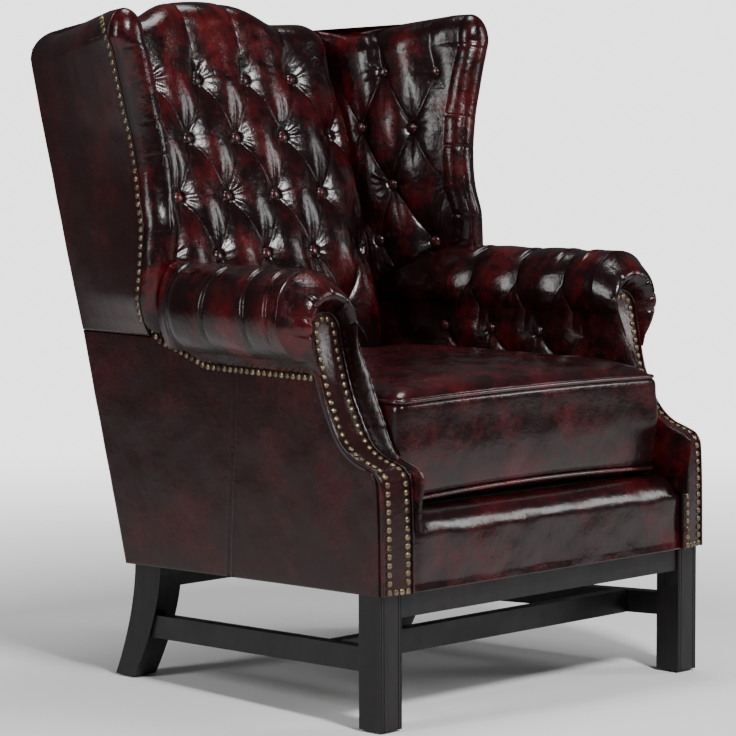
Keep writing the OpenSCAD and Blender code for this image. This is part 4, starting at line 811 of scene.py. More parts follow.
def join_ring(t):
    """Between the front dome and the first full section, along a smooth step."""
    a, b = front_ring(1.0), body_ring(ARM_START_Y)[0]
    y = a[:, 1] + (b[:, 1] - a[:, 1]) * t
    full = np.stack([body_ring(v)[0][i] for i, v in enumerate(y)])
    keep = step(t * 1.6)
    full[:, 0] = a[:, 0] + (full[:, 0] - a[:, 0]) * keep
    full[:, 2] = a[:, 2] + (full[:, 2] - a[:, 2]) * keep
    full[:, 1] = y
    return full


def tail_ring(t):
    """Behind the scroll's end: the inner half goes on to the back, and a flat wall closes the outer half."""
    zi = body_ring(ARM_END_Y)[0][:, 2].copy()
    i0, last = RIDGE_I, N_OUT + 2
    zi[i0:last] = np.linspace(zi[i0 - 1], zi[last], last - i0 + 2)[1:-1]
    ys = mix(ARM_END_Y + 0.2, back_y_at(zi, PAD_N) - 0.6, t)
    ring = np.stack([body_ring(y)[0][i] for i, y in enumerate(ys)])
    a, b = ring[i0 - 1], ring[last]
    k = (np.arange(last - i0) + 1)[:, None] / (last - i0 + 1)
    ring[i0:last, [0, 2]] = a[[0, 2]] + (b[[0, 2]] - a[[0, 2]]) * k
    return ring


def arm_rings():
    """All rings of the right arm from front to back, and their values for wear and painted shade."""
    start = front_ring(0.0)
    start[:, 1] = facing_y(np.minimum(start[:, 2], FACING_TOP)) + 15
    rings = [start] + [front_ring(f) for f in (1 - np.cos(np.linspace(0, np.pi, 40))) / 2]
    rings += [join_ring(t) for t in np.linspace(0, 1, 22)[1:-1]]
    wear_and_shade_rows = [wear_and_shade0] * len(rings)
    for y in np.arange(ARM_START_Y, ARM_END_Y + 0.1, BODY_STEP):
        ring, rub = body_ring(y)
        rings.append(ring)
        wear_and_shade_rows.append(rub)
    for t in np.linspace(0, 1, 12):
        rings.append(tail_ring(t))
        # Half of the first section's values behind the scroll: less wear, and more painted shade in its
        # wells.
        wear_and_shade_rows.append(wear_and_shade0 * 0.5)
    return np.array(rings), np.array(wear_and_shade_rows)


arms = pair("inside_arm", *arm_rings(), N_OUT)
print("arm", len(arms[1].data.polygons), "faces")

# %% [markdown]
# ## Outer arm sheets
# Plain leather covers the frame's outer side. It bellies out a little where only webbing is behind it,
# and it is drawn in along one upright seam.

# %%
def outside_arm_grid():
    """x = side + puff + seam + creases, on a grid from the rails up to the nails."""
    t = np.linspace(0, 1, 120)[:, None]
    s = np.linspace(0, 1, 200)[None]
    y1 = back_y_at(SEAM_Z, 0) - 0.3
    front_top = float(facing_y(488)) + 22
    y_high = front_top + (y1 - front_top) * s
    y_low = (back_y_at(183, 0) - 0.3) * s
    z_low = 196 - 14 * np.maximum(0, y_low - 43) / 529
    z_high = np.where(y_high < 501, nail_z(np.minimum(y_high, 501)), SEAM_Z) - 0.3
    z = mix(z_low, z_high, t)
    lead = np.interp(z, facing_curve[:, 1], facing_curve[:, 0]) + 14
    rear = np.minimum(back_y_at(z, 0) - 0.3, 1000)
    y = lead + (rear - lead) * s
    seam = y - mix(325, 302, (z - 196) / 340)
    puff = 1.6 * np.sin(np.pi * s) ** 0.5 * np.sin(np.pi * t) ** 0.5
    well = -1.6 * np.exp(-(seam / 2.2) ** 2) + 0.8 * np.exp(-((np.abs(seam) - 5) / 3) ** 2)
    x = side_x(y) + puff + well * np.minimum(1, 8 * (1 - t)) + 0.7 * creases(y, z, 41) * np.sin(np.pi * t)
    return np.stack([x, y, z], -1)


outside_arms = pair("outside_arm", sheet_ring(outside_arm_grid(), [1, 0, 0], 5.0))
print("outer arm sheet", len(outside_arms[1].data.polygons), "faces")

# %% [markdown]
# ### Outer back
# The back's cover is plain and nearly flat. Its top follows the crest, and its upper corners are rounded.

# %%
def outside_back_grid():
    """Depth n = -1.4 sqrt(sin pi t cos(pi s / 2)) less the creases, up to the crest and the corners."""
    s = np.linspace(-1, 1, 160)[None]
    t = np.linspace(0, 1, 140)[:, None]
    half = BACK_HALF - 6.3
    corner = lean_u(wing_shoulder(0), 0) + 25 - 14 * np.abs(s) ** 14
    inner = crease_x(CREST_U)
    crest = crest_at(np.minimum(np.abs(s) * half, inner)) - CREST_R - 0.6
    u = np.where(np.abs(s) * half > inner, corner, crest) * t
    x = s * half + 0 * t
    n = -1.4 * np.sin(np.pi * t) ** 0.5 * np.cos(np.pi * s / 2) ** 0.5 - 0.5 * creases(x, u, 51)
    return bend(x, np.minimum(n, 0), u)


rearward = [0, math.cos(LEAN), -math.sin(LEAN)]
outside_back = loft("outside_back", sheet_ring(outside_back_grid(), rearward, 5.0))
print("outer back", len(outside_back.data.polygons), "faces")

# %% [markdown]
# ## Arm facings
# A facing is a padded board in the shape of an S, covered in flat leather and edged with piping. Its
# rings go across it from the foot to the round head. Each is a low crown in front and a flat back 9 mm
# behind.

# %%
def facing_outline():
    """Half widths up the facing, straight to the head's middle and then a half circle."""
    zs = np.linspace(FACING_FOOT_Z, HEAD_Z, 150)[:-1]
    a = np.radians(np.linspace(0, 89, 24))
    z = np.concatenate([zs, HEAD_Z + FACING_W / 2 * np.sin(a)])
    half = np.concatenate([np.full(149, FACING_W / 2), FACING_W / 2 * np.cos(a)])
    return z, half * facing_wide(z)


BOARD_T = 9


def facing_rings():
    """Rings across the facing: y = curve + turn x + crown, where the crown is 2.2 (1 - s^4) - 1.2."""
    zs, half = facing_outline()
    y = facing_y(zs)
    dy, dz = np.gradient(y), np.gradient(zs)
    norm = np.hypot(dy, dz)
    out_y, out_z = -dz / norm, dy / norm
    rings = []
    for i in range(len(zs)):
        s = np.linspace(-1, 1, 26)
        x = s * half[i]
        crown = 2.2 * (1 - s ** 4) + 0.5 * creases(x, zs[i], 61) * (1 - s * s) - 1.2
        crown = crown * min(1, half[i] / 10)
        lift = out_z[i] if zs[i] < HEAD_Z else 0
        line = y[i] + facing_turn(zs[i]) * x
        front = np.stack([x + FACING_HALF, line + out_y[i] * crown, zs[i] + lift * crown], -1)
        rear = np.stack([x + FACING_HALF, line - out_y[i] * BOARD_T, zs[i] - lift * BOARD_T + 0 * x], -1)
        rings.append(np.concatenate([front, rear[::-1]]))
    return rings


def facing_edge(inset=0.0, lift=0.0, foot=0.0):
    """Path along the facing's outline, drawn in by an inset."""
    zs = np.linspace(FACING_FOOT_Z + foot, HEAD_Z, 110)
    r = FACING_W / 2 - inset
    a = np.radians(np.linspace(180, 0, 40))[1:-1]
    head_z = HEAD_Z + r * np.sin(a)
    left = np.stack([np.full(110, -r), zs], -1)
    head = np.stack([r * np.cos(a), head_z], -1)
    path = np.concatenate([left, head, left[::-1] * [-1, 1]])
    path[:, 0] *= facing_wide(path[:, 1])
    y = facing_y(path[:, 1]) + facing_turn(path[:, 1]) * path[:, 0]
    return np.stack([path[:, 0] + FACING_HALF, y - lift, path[:, 1]], -1)


facings = pair("arm_facing", facing_rings())
facing_pipes = pair("facing_piping", tube(facing_edge(-1.0, 0.6), 2.1, 10, up=(1, 0.1, 0.05)))
print("facing", len(facings[1].data.polygons), "faces")

# %% [markdown]
# ## Front border
# The seat's front edge is a padded roll between the facings. Its section is an upright face, a quarter
# circle and a flat lip under the cushion, carried from side to side, and the facings pull it in at both
# ends.

# %%
BORDER_R, BORDER_LIP = 38.0, 41.7


def border_rings():
    """Rings across the border: front face, roll, lip and rear, less its creases and the pull at its ends."""
    front, top, lip, r = FACING_FOOT_Y - 1, SEAT_Z - 0.9, BORDER_LIP, BORDER_R
    a = np.radians(np.linspace(0, 90, 21))[1:]
    y = np.concatenate([np.full(40, front), front + r * (1 - np.cos(a)), np.linspace(front + r, lip, 13)[1:],
                        [lip, 22, 22]])
    z = np.concatenate([np.linspace(FACING_FOOT_Z, top - r, 40), top - r * (1 - np.sin(a)), np.full(12, top),
                        [DECK_Z, DECK_Z, FACING_FOOT_Z]])
    rings = []
    for s in np.linspace(-1, 1, 200):
        half = np.where(z < DECK_Z - 0.3, FACING_HALF - FACING_W / 2 - 0.3, wall_x(lip) - 0.3)
        x = s * half
        soft = (creases(x, z * 1.3, 71) - 1.2) * np.clip((z - FACING_FOOT_Z) / 12, 0, 1)
        pull = 3.5 * np.exp(-((1 - abs(s)) * 300 / 14) ** 2)
        yy = y - np.where(np.arange(len(y)) < 72, soft - pull + 0.6, 0)
        rings.append(np.stack([x, yy, z], -1))
    return rings


border = loft("front_border", border_rings())
print("border", len(border.data.polygons), "faces")

# %% [markdown]
# ## Seat cushion and its pipings
# The loose cushion is a boxed feather case: a bottom, an upright wall and a crowned top, with piping in
# both seams. One plan is drawn in by an inset that changes with height, so the seams, the wall's waist
# and the crown all come from one curve. Cloth simulation would blur the two seams.

# %%
CUSHION_Z = SEAT_Z + 0.3
LOW_SEAM, TOP_SEAM = 9.0, 151.0
CUSHION_GAP, CORNER_R = 1.5, 15


def cushion_plan(z, inset, count=240):
    """Closed plan: straight sides, corners of radius r, tapered to the arms' walls, bowed up at the front."""
    y0 = 23 + inset
    y1 = min(back_y_at(z, button_n(lean_u(z, PAD_DEPTH)) + TUFT) - 3, 32 + 486 + 26) - inset
    w, half = SEAT_HALF - CUSHION_GAP - inset, (y1 - y0) / 2
    r = min(CORNER_R * (1 + inset / 60), 0.9 * half, 0.9 * w)
    path = []
    for sx, sy, start in ((1, 1, 0), (-1, 1, 90), (-1, -1, 180), (1, -1, 270)):
        a = np.radians(start + np.linspace(0, 90, 16))
        path.append(np.stack([sx * (w - r) + r * np.cos(a), sy * (half - r) + r * np.sin(a)], -1))
    path = np.concatenate(path)
    path = np.concatenate([path, path[:1]])
    d = np.concatenate([[0], np.cumsum(np.hypot(*np.diff(path, axis=0).T))])
    at = np.linspace(0, d[-1], count, endpoint=False)
    x, y = np.interp(at, d, path[:, 0]), np.interp(at, d, path[:, 1])
    bulge = np.where(y < 0, 5 * (1 - (x / w) ** 2) * y / half, 0)
    y = y + (y0 + y1) / 2
    bow = mix(9, 4, min(1, (z - CUSHION_Z) / TOP_SEAM)) * (1 - (x / w) ** 2)
    bow = bow * step((y1 - y) / (2 * half)) ** 2
    taper = (wall_x(y) - CUSHION_GAP) / (SEAT_HALF - CUSHION_GAP)
    return np.stack([x * taper, y + bulge, z + bow], -1)


CUSHION_MIDDLE = np.array([0, 270.0])
# Height and inset along the side: bottom, lower seam, wall, upper seam, crown.
cushion_curve = [[0, 60], [0, 14], [4.5, 8.5], [7, 7.5], [9, 9.5], [11, 7.5], [14, 6], [24, 2], [48, -0.2],
                 [80, -1.2], [112, -0.2], [136, 0.2], [144, 1.2], [149, 5.5], [151, 9.5], [153, 6.5],
                 [160, 13], [168, 26], [178, 58], [186, 110], [191, 175], [192, 228]]


def cushion_rings():
    """Rings up the curve, each the plan at its inset, creased on the top and along the wall."""
    pts = np.array(cushion_curve)
    d = np.concatenate([[0], np.cumsum(np.hypot(*np.diff(pts, axis=0).T))])
    at = np.unique(np.concatenate([np.linspace(0, d[-1], 150), d]))
    z, inset = smooth_curve(d, pts[:, 0])(at), smooth_curve(d, pts[:, 1])(at)
    rings = []
    for zi, ii in zip(z, inset):
        ring = cushion_plan(CUSHION_Z + zi, ii)
        top = float(step((zi - 152) / 12))
        side = math.exp(-((zi - 80) / 55) ** 4)
        wob = creases(ring[:, 0], ring[:, 1], 81)
        ring[:, 2] += 1.6 * top * wob
        out = ring[:, :2] - CUSHION_MIDDLE
        out /= np.linalg.norm(out, axis=1)[:, None]
        along_side = np.arctan2(out[:, 1], out[:, 0]) * 300
        ring[:, :2] += out * (side * 0.9 * creases(along_side, zi, 82))[:, None]
        rings.append(ring)
    return rings


cushion = loft("seat_cushion", cushion_rings())


def piping(name, level):
    """A closed tube of radius 3.3 along the cushion's plan at one level."""
    path = cushion_plan(CUSHION_Z + level, 4.2, 260)
    rings = tube(path, 3.3, 12, closed=True)
    n = rings.shape[1]
    m = len(rings) - 1
    j, i = np.meshgrid(np.arange(m), np.arange(n), indexing="ij")
    faces = np.stack([j * n + i, j * n + (i + 1) % n, (j + 1) % m * n + (i + 1) % n, (j + 1) % m * n + i], -1)
    return make(name, rings[:-1].reshape(-1, 3), faces.reshape(-1, 4).tolist())


pipings = [piping("cushion_top_piping", TOP_SEAM), piping("cushion_bottom_piping", LOW_SEAM)]
print("cushion", len(cushion.data.polygons), "faces")

# %% [markdown]
# ## Buttons and nails
# A covered button is a low dome with a rolled edge. An upholstery nail is a shallower dome. There are
# hundreds of nails, so each has a few dozen faces, and every row is merged in one mesh. Their small tilts
# keep the row from looking printed.

# %%
def dome(radius, height, rings=7, sides=20, lip=0.18):
    """Profile r = R cos(a), h = H sin(a), over a short upright lip; returns points and faces, z outwards."""
    a = np.linspace(0, np.pi / 2, rings)[:-1]
    r = np.concatenate([[radius * 0.86, radius * 0.99], radius * np.cos(a)])
    h = np.concatenate([[-lip * radius, 0], 0.25 * height + 0.75 * height * np.sin(a)])
    t = np.linspace(0, 2 * np.pi, sides, endpoint=False)
    pts = np.stack([r[:, None] * np.cos(t), r[:, None] * np.sin(t), h[:, None] + 0 * t], -1).reshape(-1, 3)
    pts = np.concatenate([pts, [[0, 0, -lip * radius], [0, 0, height]]])
    return pts, ring_faces(len(r), sides)


def scatter(name, places, shape, jitter=0.0, seed=1):
    """Copies of one shape at places (point, outward direction), merged in one mesh."""
    pts, faces = shape
    rng = np.random.default_rng(seed)
    verts, all_faces, shade = [], [], []
    for k, (p, d) in enumerate(places):
        d = np.asarray(d, float) + rng.normal(0, jitter, 3)
        d /= np.linalg.norm(d)
        s = np.cross([0, 0, 1], d)
        s /= np.linalg.norm(s)
        v = np.cross(d, s)
        verts.append(np.asarray(p) + pts[:, :1] * s + pts[:, 1:2] * v + pts[:, 2:] * d)
        all_faces += [[i + k * len(pts) for i in f] for f in faces]
        # A random tone for each copy, kept in the mesh's attribute.
        shade.append(np.full(len(pts), rng.uniform(0, 1)))
    return make(name, np.concatenate(verts), all_faces, np.concatenate(shade))


def scatter_pair(groups, shape, kind, seed):
    """The groups of one kind on both sides, as pieces keyed by side and label."""
    pieces = {}
    for s, side in SIDES:
        for label, group in groups:
            flipped = [(mirror(p, s), mirror(d, s)) for p, d in group]
            pieces[s, label] = scatter(f"{side}_{label}_{kind}", flipped, shape, 0.05, seed + s)
    return pieces


def along(path, pitch):
    """Points at even steps of about one pitch along a path."""
    d = np.concatenate([[0], np.cumsum(np.linalg.norm(np.diff(path, axis=0), axis=1))])
    count = int(d[-1] / pitch)
    at = np.linspace(0, d[-1], count + 1)
    return np.stack([np.interp(at, d, path[:, i]) for i in range(3)], -1)


print("faces of a dome", len(dome(1.0, 1.0)[1]))

# %% [markdown]
# ### Buttons
# A button sits in each well, 2.4 mm proud of the deepest point. The back has rows of four and three, each
# wing has four short rows, and each arm has three buttons.

# %%
BUTTON_LIFT = 2.4
button_shape = dome(8.9, 5.0, 8, 26, 0.3)
places = []
for row in range(5):
    u = TOP_ROW_U - row * ROW_PITCH
    for k in ([-1.5, -0.5, 0.5, 1.5] if row % 2 == 0 else [-1, 0, 1]):
        x = k * BUTTON_PITCH
        n, _ = back_front(np.array([x]), np.array([u]), False)
        seat = float(n[0]) + BUTTON_LIFT
        places.append(([x, back_y(u, seat), back_z(u, seat)], [0, -math.cos(LEAN), math.sin(LEAN)]))
back_buttons = scatter("back_buttons", places, button_shape, 0.04, 2)

wing_places = []
for row, ks in ((0, (1, 2)), (1, (0, 1)), (2, (1, 2)), (3, (0, 1))):
    z = WING_TOP_Z - row * WING_ROW
    x0, y0, x1, y1 = (float(v) for v in wing_ends(z))
    length = math.hypot(x1 - x0, y1 - y0)
    for k in ks:
        shift = WING_SHIFT * float(step((WING_TOP_Z - z) / 170))
        w = (WING_PHASE - shift + WING_PITCH * (k + (row % 2) / 2)) / length
        if w < 0.97:
            x, y, _ = wing_inner(w, z)
            nx, ny = (y1 - y0) / length, -(x1 - x0) / length
            wing_places.append(([float(x) + nx * BUTTON_LIFT, float(y) + ny * BUTTON_LIFT, z], [nx, ny, 0]))
arm_places = [([wall_x(y) + ARM_TUFT - BUTTON_LIFT, y, ARM_ROW_Z], [-1, 0, 0]) for y in (265, 360, 455)]
buttons = scatter_pair((("wing", wing_places), ("arm", arm_places)), button_shape, "buttons", 3)
print("buttons", len(places) + 2 * len(wing_places) + 2 * len(arm_places))

# %% [markdown]
# ### Nails of the side
# One row runs down behind the wing's roll, turns at its foot and goes on under the arm's roll to the
# facing. It is laid out as one path and stepped off at an even pitch.

# %%
NAIL_R, NAIL_IN, NAIL_PITCH = 4.7, 5.2, 12.6
nail_shape = dome(NAIL_R, 2.9, 5, 14, 0.2)
crown_z = float(wing_shoulder(1.0))
z = np.linspace(crown_z - NAIL_IN, float(nail_z(WING_Y)) + 3, 80)
nail_w = 1 - NAIL_IN / 230
wx, wy = wing_outer(np.full(80, nail_w), z)
crown_a = np.linspace(46, 4, 12)
crown = np.stack(wing_wrap(nail_w - 0.1 * (crown_a / 46) ** 1.5, crown_a), -1)
side_path = [crown, np.stack([wx, wy, z], -1)]
turn_y = np.linspace(WING_Y, 425, 40)
edge_line = np.stack([turn_y, nail_z(turn_y)], -1)
run = np.gradient(edge_line, axis=0)
run /= np.linalg.norm(run, axis=1)[:, None]
row = edge_line + NAIL_IN * run[:, ::-1] * [-1, 1]
side_path.append(np.stack([side_x(row[:, 0]) + 1.6, row[:, 0], row[:, 1]], -1))
ys = np.array([413, 377, 325, 262, 200, 142], float)
side_path.append(np.stack([side_x(ys), ys, nail_z(ys) - NAIL_IN], -1))
side_points = along(np.concatenate(side_path), NAIL_PITCH)
tilt = [max(0.0, (p[2] - crown_z) / CREST_R) for p in side_points]
side_nails = [(p, [math.sqrt(max(0.05, 1 - t * t)), SIDE_TAPER * (2 if p[1] > WING_Y - 8 else 1), t])
              for p, t in zip(side_points, tilt)]
print("nails on a side", len(side_nails))

# %% [markdown]
# ### Nails of the facing
# They follow the facing's outline, 9 mm in from its edge, and two more close the row at the foot.

# %%
FACING_IN = NAIL_IN + 4
face_points = along(facing_edge(FACING_IN, 0, NAIL_IN), NAIL_PITCH)
foot_wide, foot_turn = float(facing_wide(FACING_FOOT_Z)), float(facing_turn(FACING_FOOT_Z))
foot_step = foot_wide * (FACING_W - 2 * FACING_IN) / 3
extra = [face_points[0] + [k * foot_step, foot_turn * k * foot_step, 0] for k in (1, 2)]
face_nails = []
for p in list(face_points) + extra:
    slope = 0 if p[2] > HEAD_Z else float(facing_y(p[2] + 4) - facing_y(p[2] - 4)) / 8
    face_nails.append((p + np.array([0, -0.6, 0]), [float(facing_turn(p[2])), -1, slope]))
nails = scatter_pair((("side", side_nails), ("facing", face_nails)), nail_shape, "nails", 7)
print("nails on a facing", len(face_nails))

# %% [markdown]
# ## Materials
# A few short helpers make nodes, so that a material reads as a list of what it mixes. Every pattern reads
# Object coordinates, in metres, so it stays at its real scale on each piece.

# %%
def group_of(name, inputs, outputs):
    """A node group with named inputs and outputs, and its input and output nodes."""
    group = bpy.data.node_groups.new(name, "ShaderNodeTree")
    for label, kind, value in inputs:
        socket = group.interface.new_socket(label, in_out="INPUT", socket_type=kind)
        socket.default_value = value
    for label, kind in outputs:
        group.interface.new_socket(label, in_out="OUTPUT", socket_type=kind)
    return group, group.nodes.new("NodeGroupInput"), group.nodes.new("NodeGroupOutput")


def node(tree, kind, links=(), **values):
    """A node with its settings and its incoming links as (socket, source)."""
    n = tree.nodes.new(kind)
    for key, value in values.items():
        setattr(n, key, value)
    for socket, source in links:
        if hasattr(source, "links"):
            tree.links.new(source, n.inputs[socket])
        else:
            n.inputs[socket].default_value = source
    return n


def math_node(tree, operation, a, b=0.0, clamp=False):
    """a operation b, clamped to 0 to 1 if asked."""
    return node(tree, "ShaderNodeMath", [(0, a), (1, b)], operation=operation, use_clamp=clamp).outputs[0]


def times(tree, a, b):
    """a times b."""
    return math_node(tree, "MULTIPLY", a, b)


def mix_colour(tree, factor, a, b):
    """Colour a at factor 0, and b at factor 1."""
    return node(tree, "ShaderNodeMix", [(0, factor), (6, a), (7, b)], data_type="RGBA").outputs[2]


def noise(tree, vector, scale, detail=3.0, rough=0.5):
    """Soft noise, from 0 to 1."""
    return node(tree, "ShaderNodeTexNoise", [("Vector", vector), ("Scale", scale), ("Detail", detail),
                                             ("Roughness", rough)]).outputs["Fac"]


def span(tree, value, low, high, to_low=0.0, to_high=1.0):
    """The value's place between low and high, spread from to_low to to_high."""
    return node(tree, "ShaderNodeMapRange", [("Value", value), ("From Min", low), ("From Max", high),
                                             ("To Min", to_low), ("To Max", to_high)]).outputs["Result"]


def bump_from(tree, height, strength):
    """The normal bent by a height in metres."""
    settings = [("Strength", strength), ("Distance", 1.0), ("Height", height)]
    return node(tree, "ShaderNodeBump", settings).outputs["Normal"]


def object_place(tree):
    """Object coordinates."""
    return node(tree, "ShaderNodeTexCoord").outputs["Object"]


def wear_and_shade_value(tree):
    """The meshes' attribute for wear and painted shade."""
    return node(tree, "ShaderNodeAttribute", attribute_name="rub").outputs["Fac"]


print("node groups so far", len(bpy.data.node_groups))

# %% [markdown]
# ### Antiqued leather
# This hide is dyed oxblood and rubbed through to crimson in cloudy patches, most on the tufts' crowns.
# Painted shade takes it almost to black in the pleats, the wells and the hidden backs. It has a pebble
# grain and slow creases under a thin gloss. All of it is one node group, with its colours, patches and
# grain as inputs, so that each part of the chair has its own wear.

# %%
leather, gin, gout = group_of("hide_surface", [
    ("Dark", "NodeSocketColor", (0.012, 0.004, 0.005, 1)),
    ("Rubbed", "NodeSocketColor", (0.17, 0.018, 0.02, 1)),
    ("Patch", "NodeSocketFloat", 0.5), ("Grain", "NodeSocketFloat", 1.0)],
    [("Color", "NodeSocketColor"), ("Roughness", "NodeSocketFloat"), ("Normal", "NodeSocketVector")])
coord = object_place(leather)
rub = wear_and_shade_value(leather)
patch = noise(leather, coord, 11, 5, 0.62)
fine = noise(leather, coord, 60, 4, 0.6)
blend = math_node(leather, "ADD", times(leather, patch, 0.75), times(leather, fine, 0.25))
mask = times(leather, span(leather, blend, 0.47, 0.68), gin.outputs["Patch"])
rubbed = math_node(leather, "MULTIPLY", mask, span(leather, rub, 0.35, 0.95, 0.15, 1.0), True)
base = mix_colour(leather, rubbed, gin.outputs["Dark"], gin.outputs["Rubbed"])
# Painted shade: where the wear and shade value is low, in pleats, wells and hidden backs, the colour is mixed
# towards near black.
shade = mix_colour(leather, span(leather, rub, 0.0, 0.45, 0.75, 0.0), base, (0.003, 0.001, 0.001, 1))
grain = noise(leather, coord, 800, 2, 0.5)
creased = noise(leather, coord, 150, 4, 0.65)
folds = noise(leather, coord, 38, 3, 0.55)
height = math_node(leather, "ADD", times(leather, creased, 0.0006), times(leather, folds, 0.0018))
height = math_node(leather, "ADD", times(leather, grain, 0.00003), height)
rough = math_node(leather, "ADD", span(leather, fine, 0.3, 0.7, 0.17, 0.27), times(leather, rubbed, 0.05))
leather.links.new(shade, gout.inputs["Color"])
leather.links.new(rough, gout.inputs["Roughness"])
leather.links.new(bump_from(leather, height, gin.outputs["Grain"]), gout.inputs["Normal"])
print("leather group", len(leather.nodes), "nodes")

# %% [markdown]
# ### The hides
# The tufted hide has the strongest contrast. The sides' plain hide is duller and browner, and the seat's
# lies between. Buttons and piping are rubbed most. A value that is the same all over is set on the shader
# itself.

# %%
def material(name):
    """A material with only a Principled BSDF and its output; returns it, its tree and the shader."""
    m = bpy.data.materials.new(name)
    m.use_nodes = True
    tree = m.node_tree
    tree.nodes.clear()
    out = tree.nodes.new("ShaderNodeOutputMaterial")
    shader = tree.nodes.new("ShaderNodeBsdfPrincipled")
    tree.links.new(shader.outputs[0], out.inputs["Surface"])
    return m, tree, shader


def wire(tree, shader, colour, roughness, normal):
    """Links what changes over the surface to the shader."""
    tree.links.new(colour, shader.inputs["Base Color"])
    tree.links.new(roughness, shader.inputs["Roughness"])
    tree.links.new(normal, shader.inputs["Normal"])


def hide_material(name, dark, rubbed, patch, grain, coat, shine):
    """Leather with its own two colours, share of patches, grain strength, coat and specular level."""
    m, tree, shader = material(name)
    use = tree.nodes.new("ShaderNodeGroup")
    use.node_tree = leather
    use.inputs["Dark"].default_value = (*dark, 1)
    use.inputs["Rubbed"].default_value = (*rubbed, 1)
    use.inputs["Patch"].default_value = patch
    use.inputs["Grain"].default_value = grain
    wire(tree, shader, use.outputs["Color"], use.outputs["Roughness"], use.outputs["Normal"])
    shader.inputs["Specular IOR Level"].default_value = shine
    shader.inputs["Coat Weight"].default_value = coat
    shader.inputs["Coat Roughness"].default_value = 0.15
    return m


# Name, dark colour, rubbed colour, patch, grain, coat, specular level.
hides = {row[0]: hide_material(*row) for row in (
    ("tufted_leather", (0.0066, 0.0014, 0.0018), (0.088, 0.0026, 0.0042), 0.8, 0.8, 0.05, 0.30),
    ("side_leather", (0.0160, 0.0052, 0.0056), (0.048, 0.0050, 0.0056), 0.7, 0.4, 0.02, 0.24),
    ("cushion_leather", (0.0090, 0.0022, 0.0027), (0.062, 0.0030, 0.0044), 0.75, 0.5, 0.04, 0.32),
    ("button_leather", (0.030, 0.0050, 0.0060), (0.120, 0.0070, 0.0090), 0.8, 0.5, 0.08, 0.4),
    ("piping", (0.020, 0.0045, 0.0055), (0.085, 0.0060, 0.0075), 0.8, 0.5, 0.08, 0.4))}
print("hides", list(hides))

# %% [markdown]
# ### Wood
# The legs, rails and stretchers are stained almost black, with brown showing where the stain has worn.
# The hidden frame is pale beech. Both are long grain: noise stretched along z, with fine pores in its
# bump.

# %%


def wood_material(name, dark, light, rough_low, rough_high, scale=(60, 60, 6)):
    """Colour dark to light by the stretched noise, then towards a brighter worn tone where wear > 0.62."""
    m, tree, shader = material(name)
    where = object_place(tree)
    long = node(tree, "ShaderNodeMapping", [("Vector", where), ("Scale", scale)]).outputs["Vector"]
    rings = noise(tree, long, 1.0, 5, 0.6)
    pores = noise(tree, long, 9.0, 3, 0.7)
    tone = span(tree, rings, 0.3, 0.7)
    wear = noise(tree, where, 23, 4, 0.6)
    colour = mix_colour(tree, tone, (*dark, 1), (*light, 1))
    worn = (light[0] * 2.4, light[1] * 1.9, light[2] * 1.7, 1)
    colour = mix_colour(tree, span(tree, wear, 0.62, 0.78, 0.0, 0.55), colour, worn)
    lift = math_node(tree, "ADD", times(tree, pores, 0.00035), times(tree, wear, 0.0006))
    rough = span(tree, wear, 0.3, 0.7, rough_low, rough_high)
    wire(tree, shader, colour, rough, bump_from(tree, lift, 0.6))
    shader.inputs["Specular IOR Level"].default_value = 0.3
    return m


stained = wood_material("show_wood", (0.0035, 0.0030, 0.0030), (0.010, 0.008, 0.0075), 0.34, 0.5)
beech = wood_material("frame_wood", (0.42, 0.27, 0.15), (0.60, 0.42, 0.26), 0.5, 0.65)
print("woods", stained.name, beech.name)

# %% [markdown]
# ### Nails, webbing, cloth and glides
# The nails are old brass, brown where they are stained, and each has its own random tone, kept in the
# attribute that holds wear and painted shade on the leather.
# The webbing and the deck cloth are plain weaves. The glides are scuffed steel.

# %%
def brass_material():
    """Brown to brass by a fine stain, then up to half way to the nail's own tone."""
    m, tree, shader = material("nail_brass")
    where = object_place(tree)
    stain = noise(tree, where, 85, 4, 0.6)
    brown, bright, plain = (0.035, 0.027, 0.017, 1), (0.25, 0.205, 0.125, 1), (0.22, 0.18, 0.12, 1)
    colour = mix_colour(tree, span(tree, stain, 0.35, 0.65), brown, bright)
    colour = mix_colour(tree, times(tree, wear_and_shade_value(tree), 0.5), colour, plain)
    dents = times(tree, noise(tree, where, 700, 2), 0.0004)
    wire(tree, shader, colour, span(tree, stain, 0.3, 0.7, 0.5, 0.3), bump_from(tree, dents, 0.5))
    shader.inputs["Metallic"].default_value = 1.0
    return m


def cloth_material(name, dark, light, pitch, roughness=0.85):
    """A plain weave: the product of two crossed waves, with slubs of noise in its colour."""
    m, tree, shader = material(name)
    where = object_place(tree)
    waves = []
    for direction in ("X", "Y"):
        settings = [("Vector", where), ("Scale", math.pi / pitch / 10), ("Distortion", 0.6)]
        w = node(tree, "ShaderNodeTexWave", settings, wave_type="BANDS", bands_direction=direction)
        waves.append(w.outputs["Fac"])
    weave = times(tree, waves[0], waves[1])
    slub = noise(tree, where, 90, 3)
    colour = mix_colour(tree, times(tree, weave, slub), (*dark, 1), (*light, 1))
    tree.links.new(colour, shader.inputs["Base Color"])
    tree.links.new(bump_from(tree, times(tree, weave, 0.0006), 0.5), shader.inputs["Normal"])
    shader.inputs["Roughness"].default_value = roughness
    shader.inputs["Sheen Weight"].default_value = 0.2
    return m


brass = brass_material()
jute = cloth_material("webbing", (0.20, 0.14, 0.08), (0.55, 0.44, 0.28), 0.0018)
black_cloth = cloth_material("cloth", (0.008, 0.008, 0.008), (0.035, 0.034, 0.033), 0.0009)
glide_steel, tree, shader = material("glide")
scuffs = noise(tree, object_place(tree), 300, 3)
tree.links.new(span(tree, scuffs, 0.3, 0.7, 0.3, 0.55), shader.inputs["Roughness"])
shader.inputs["Base Color"].default_value = (0.45, 0.44, 0.42, 1)
shader.inputs["Metallic"].default_value = 1.0
print("materials", len(bpy.data.materials))
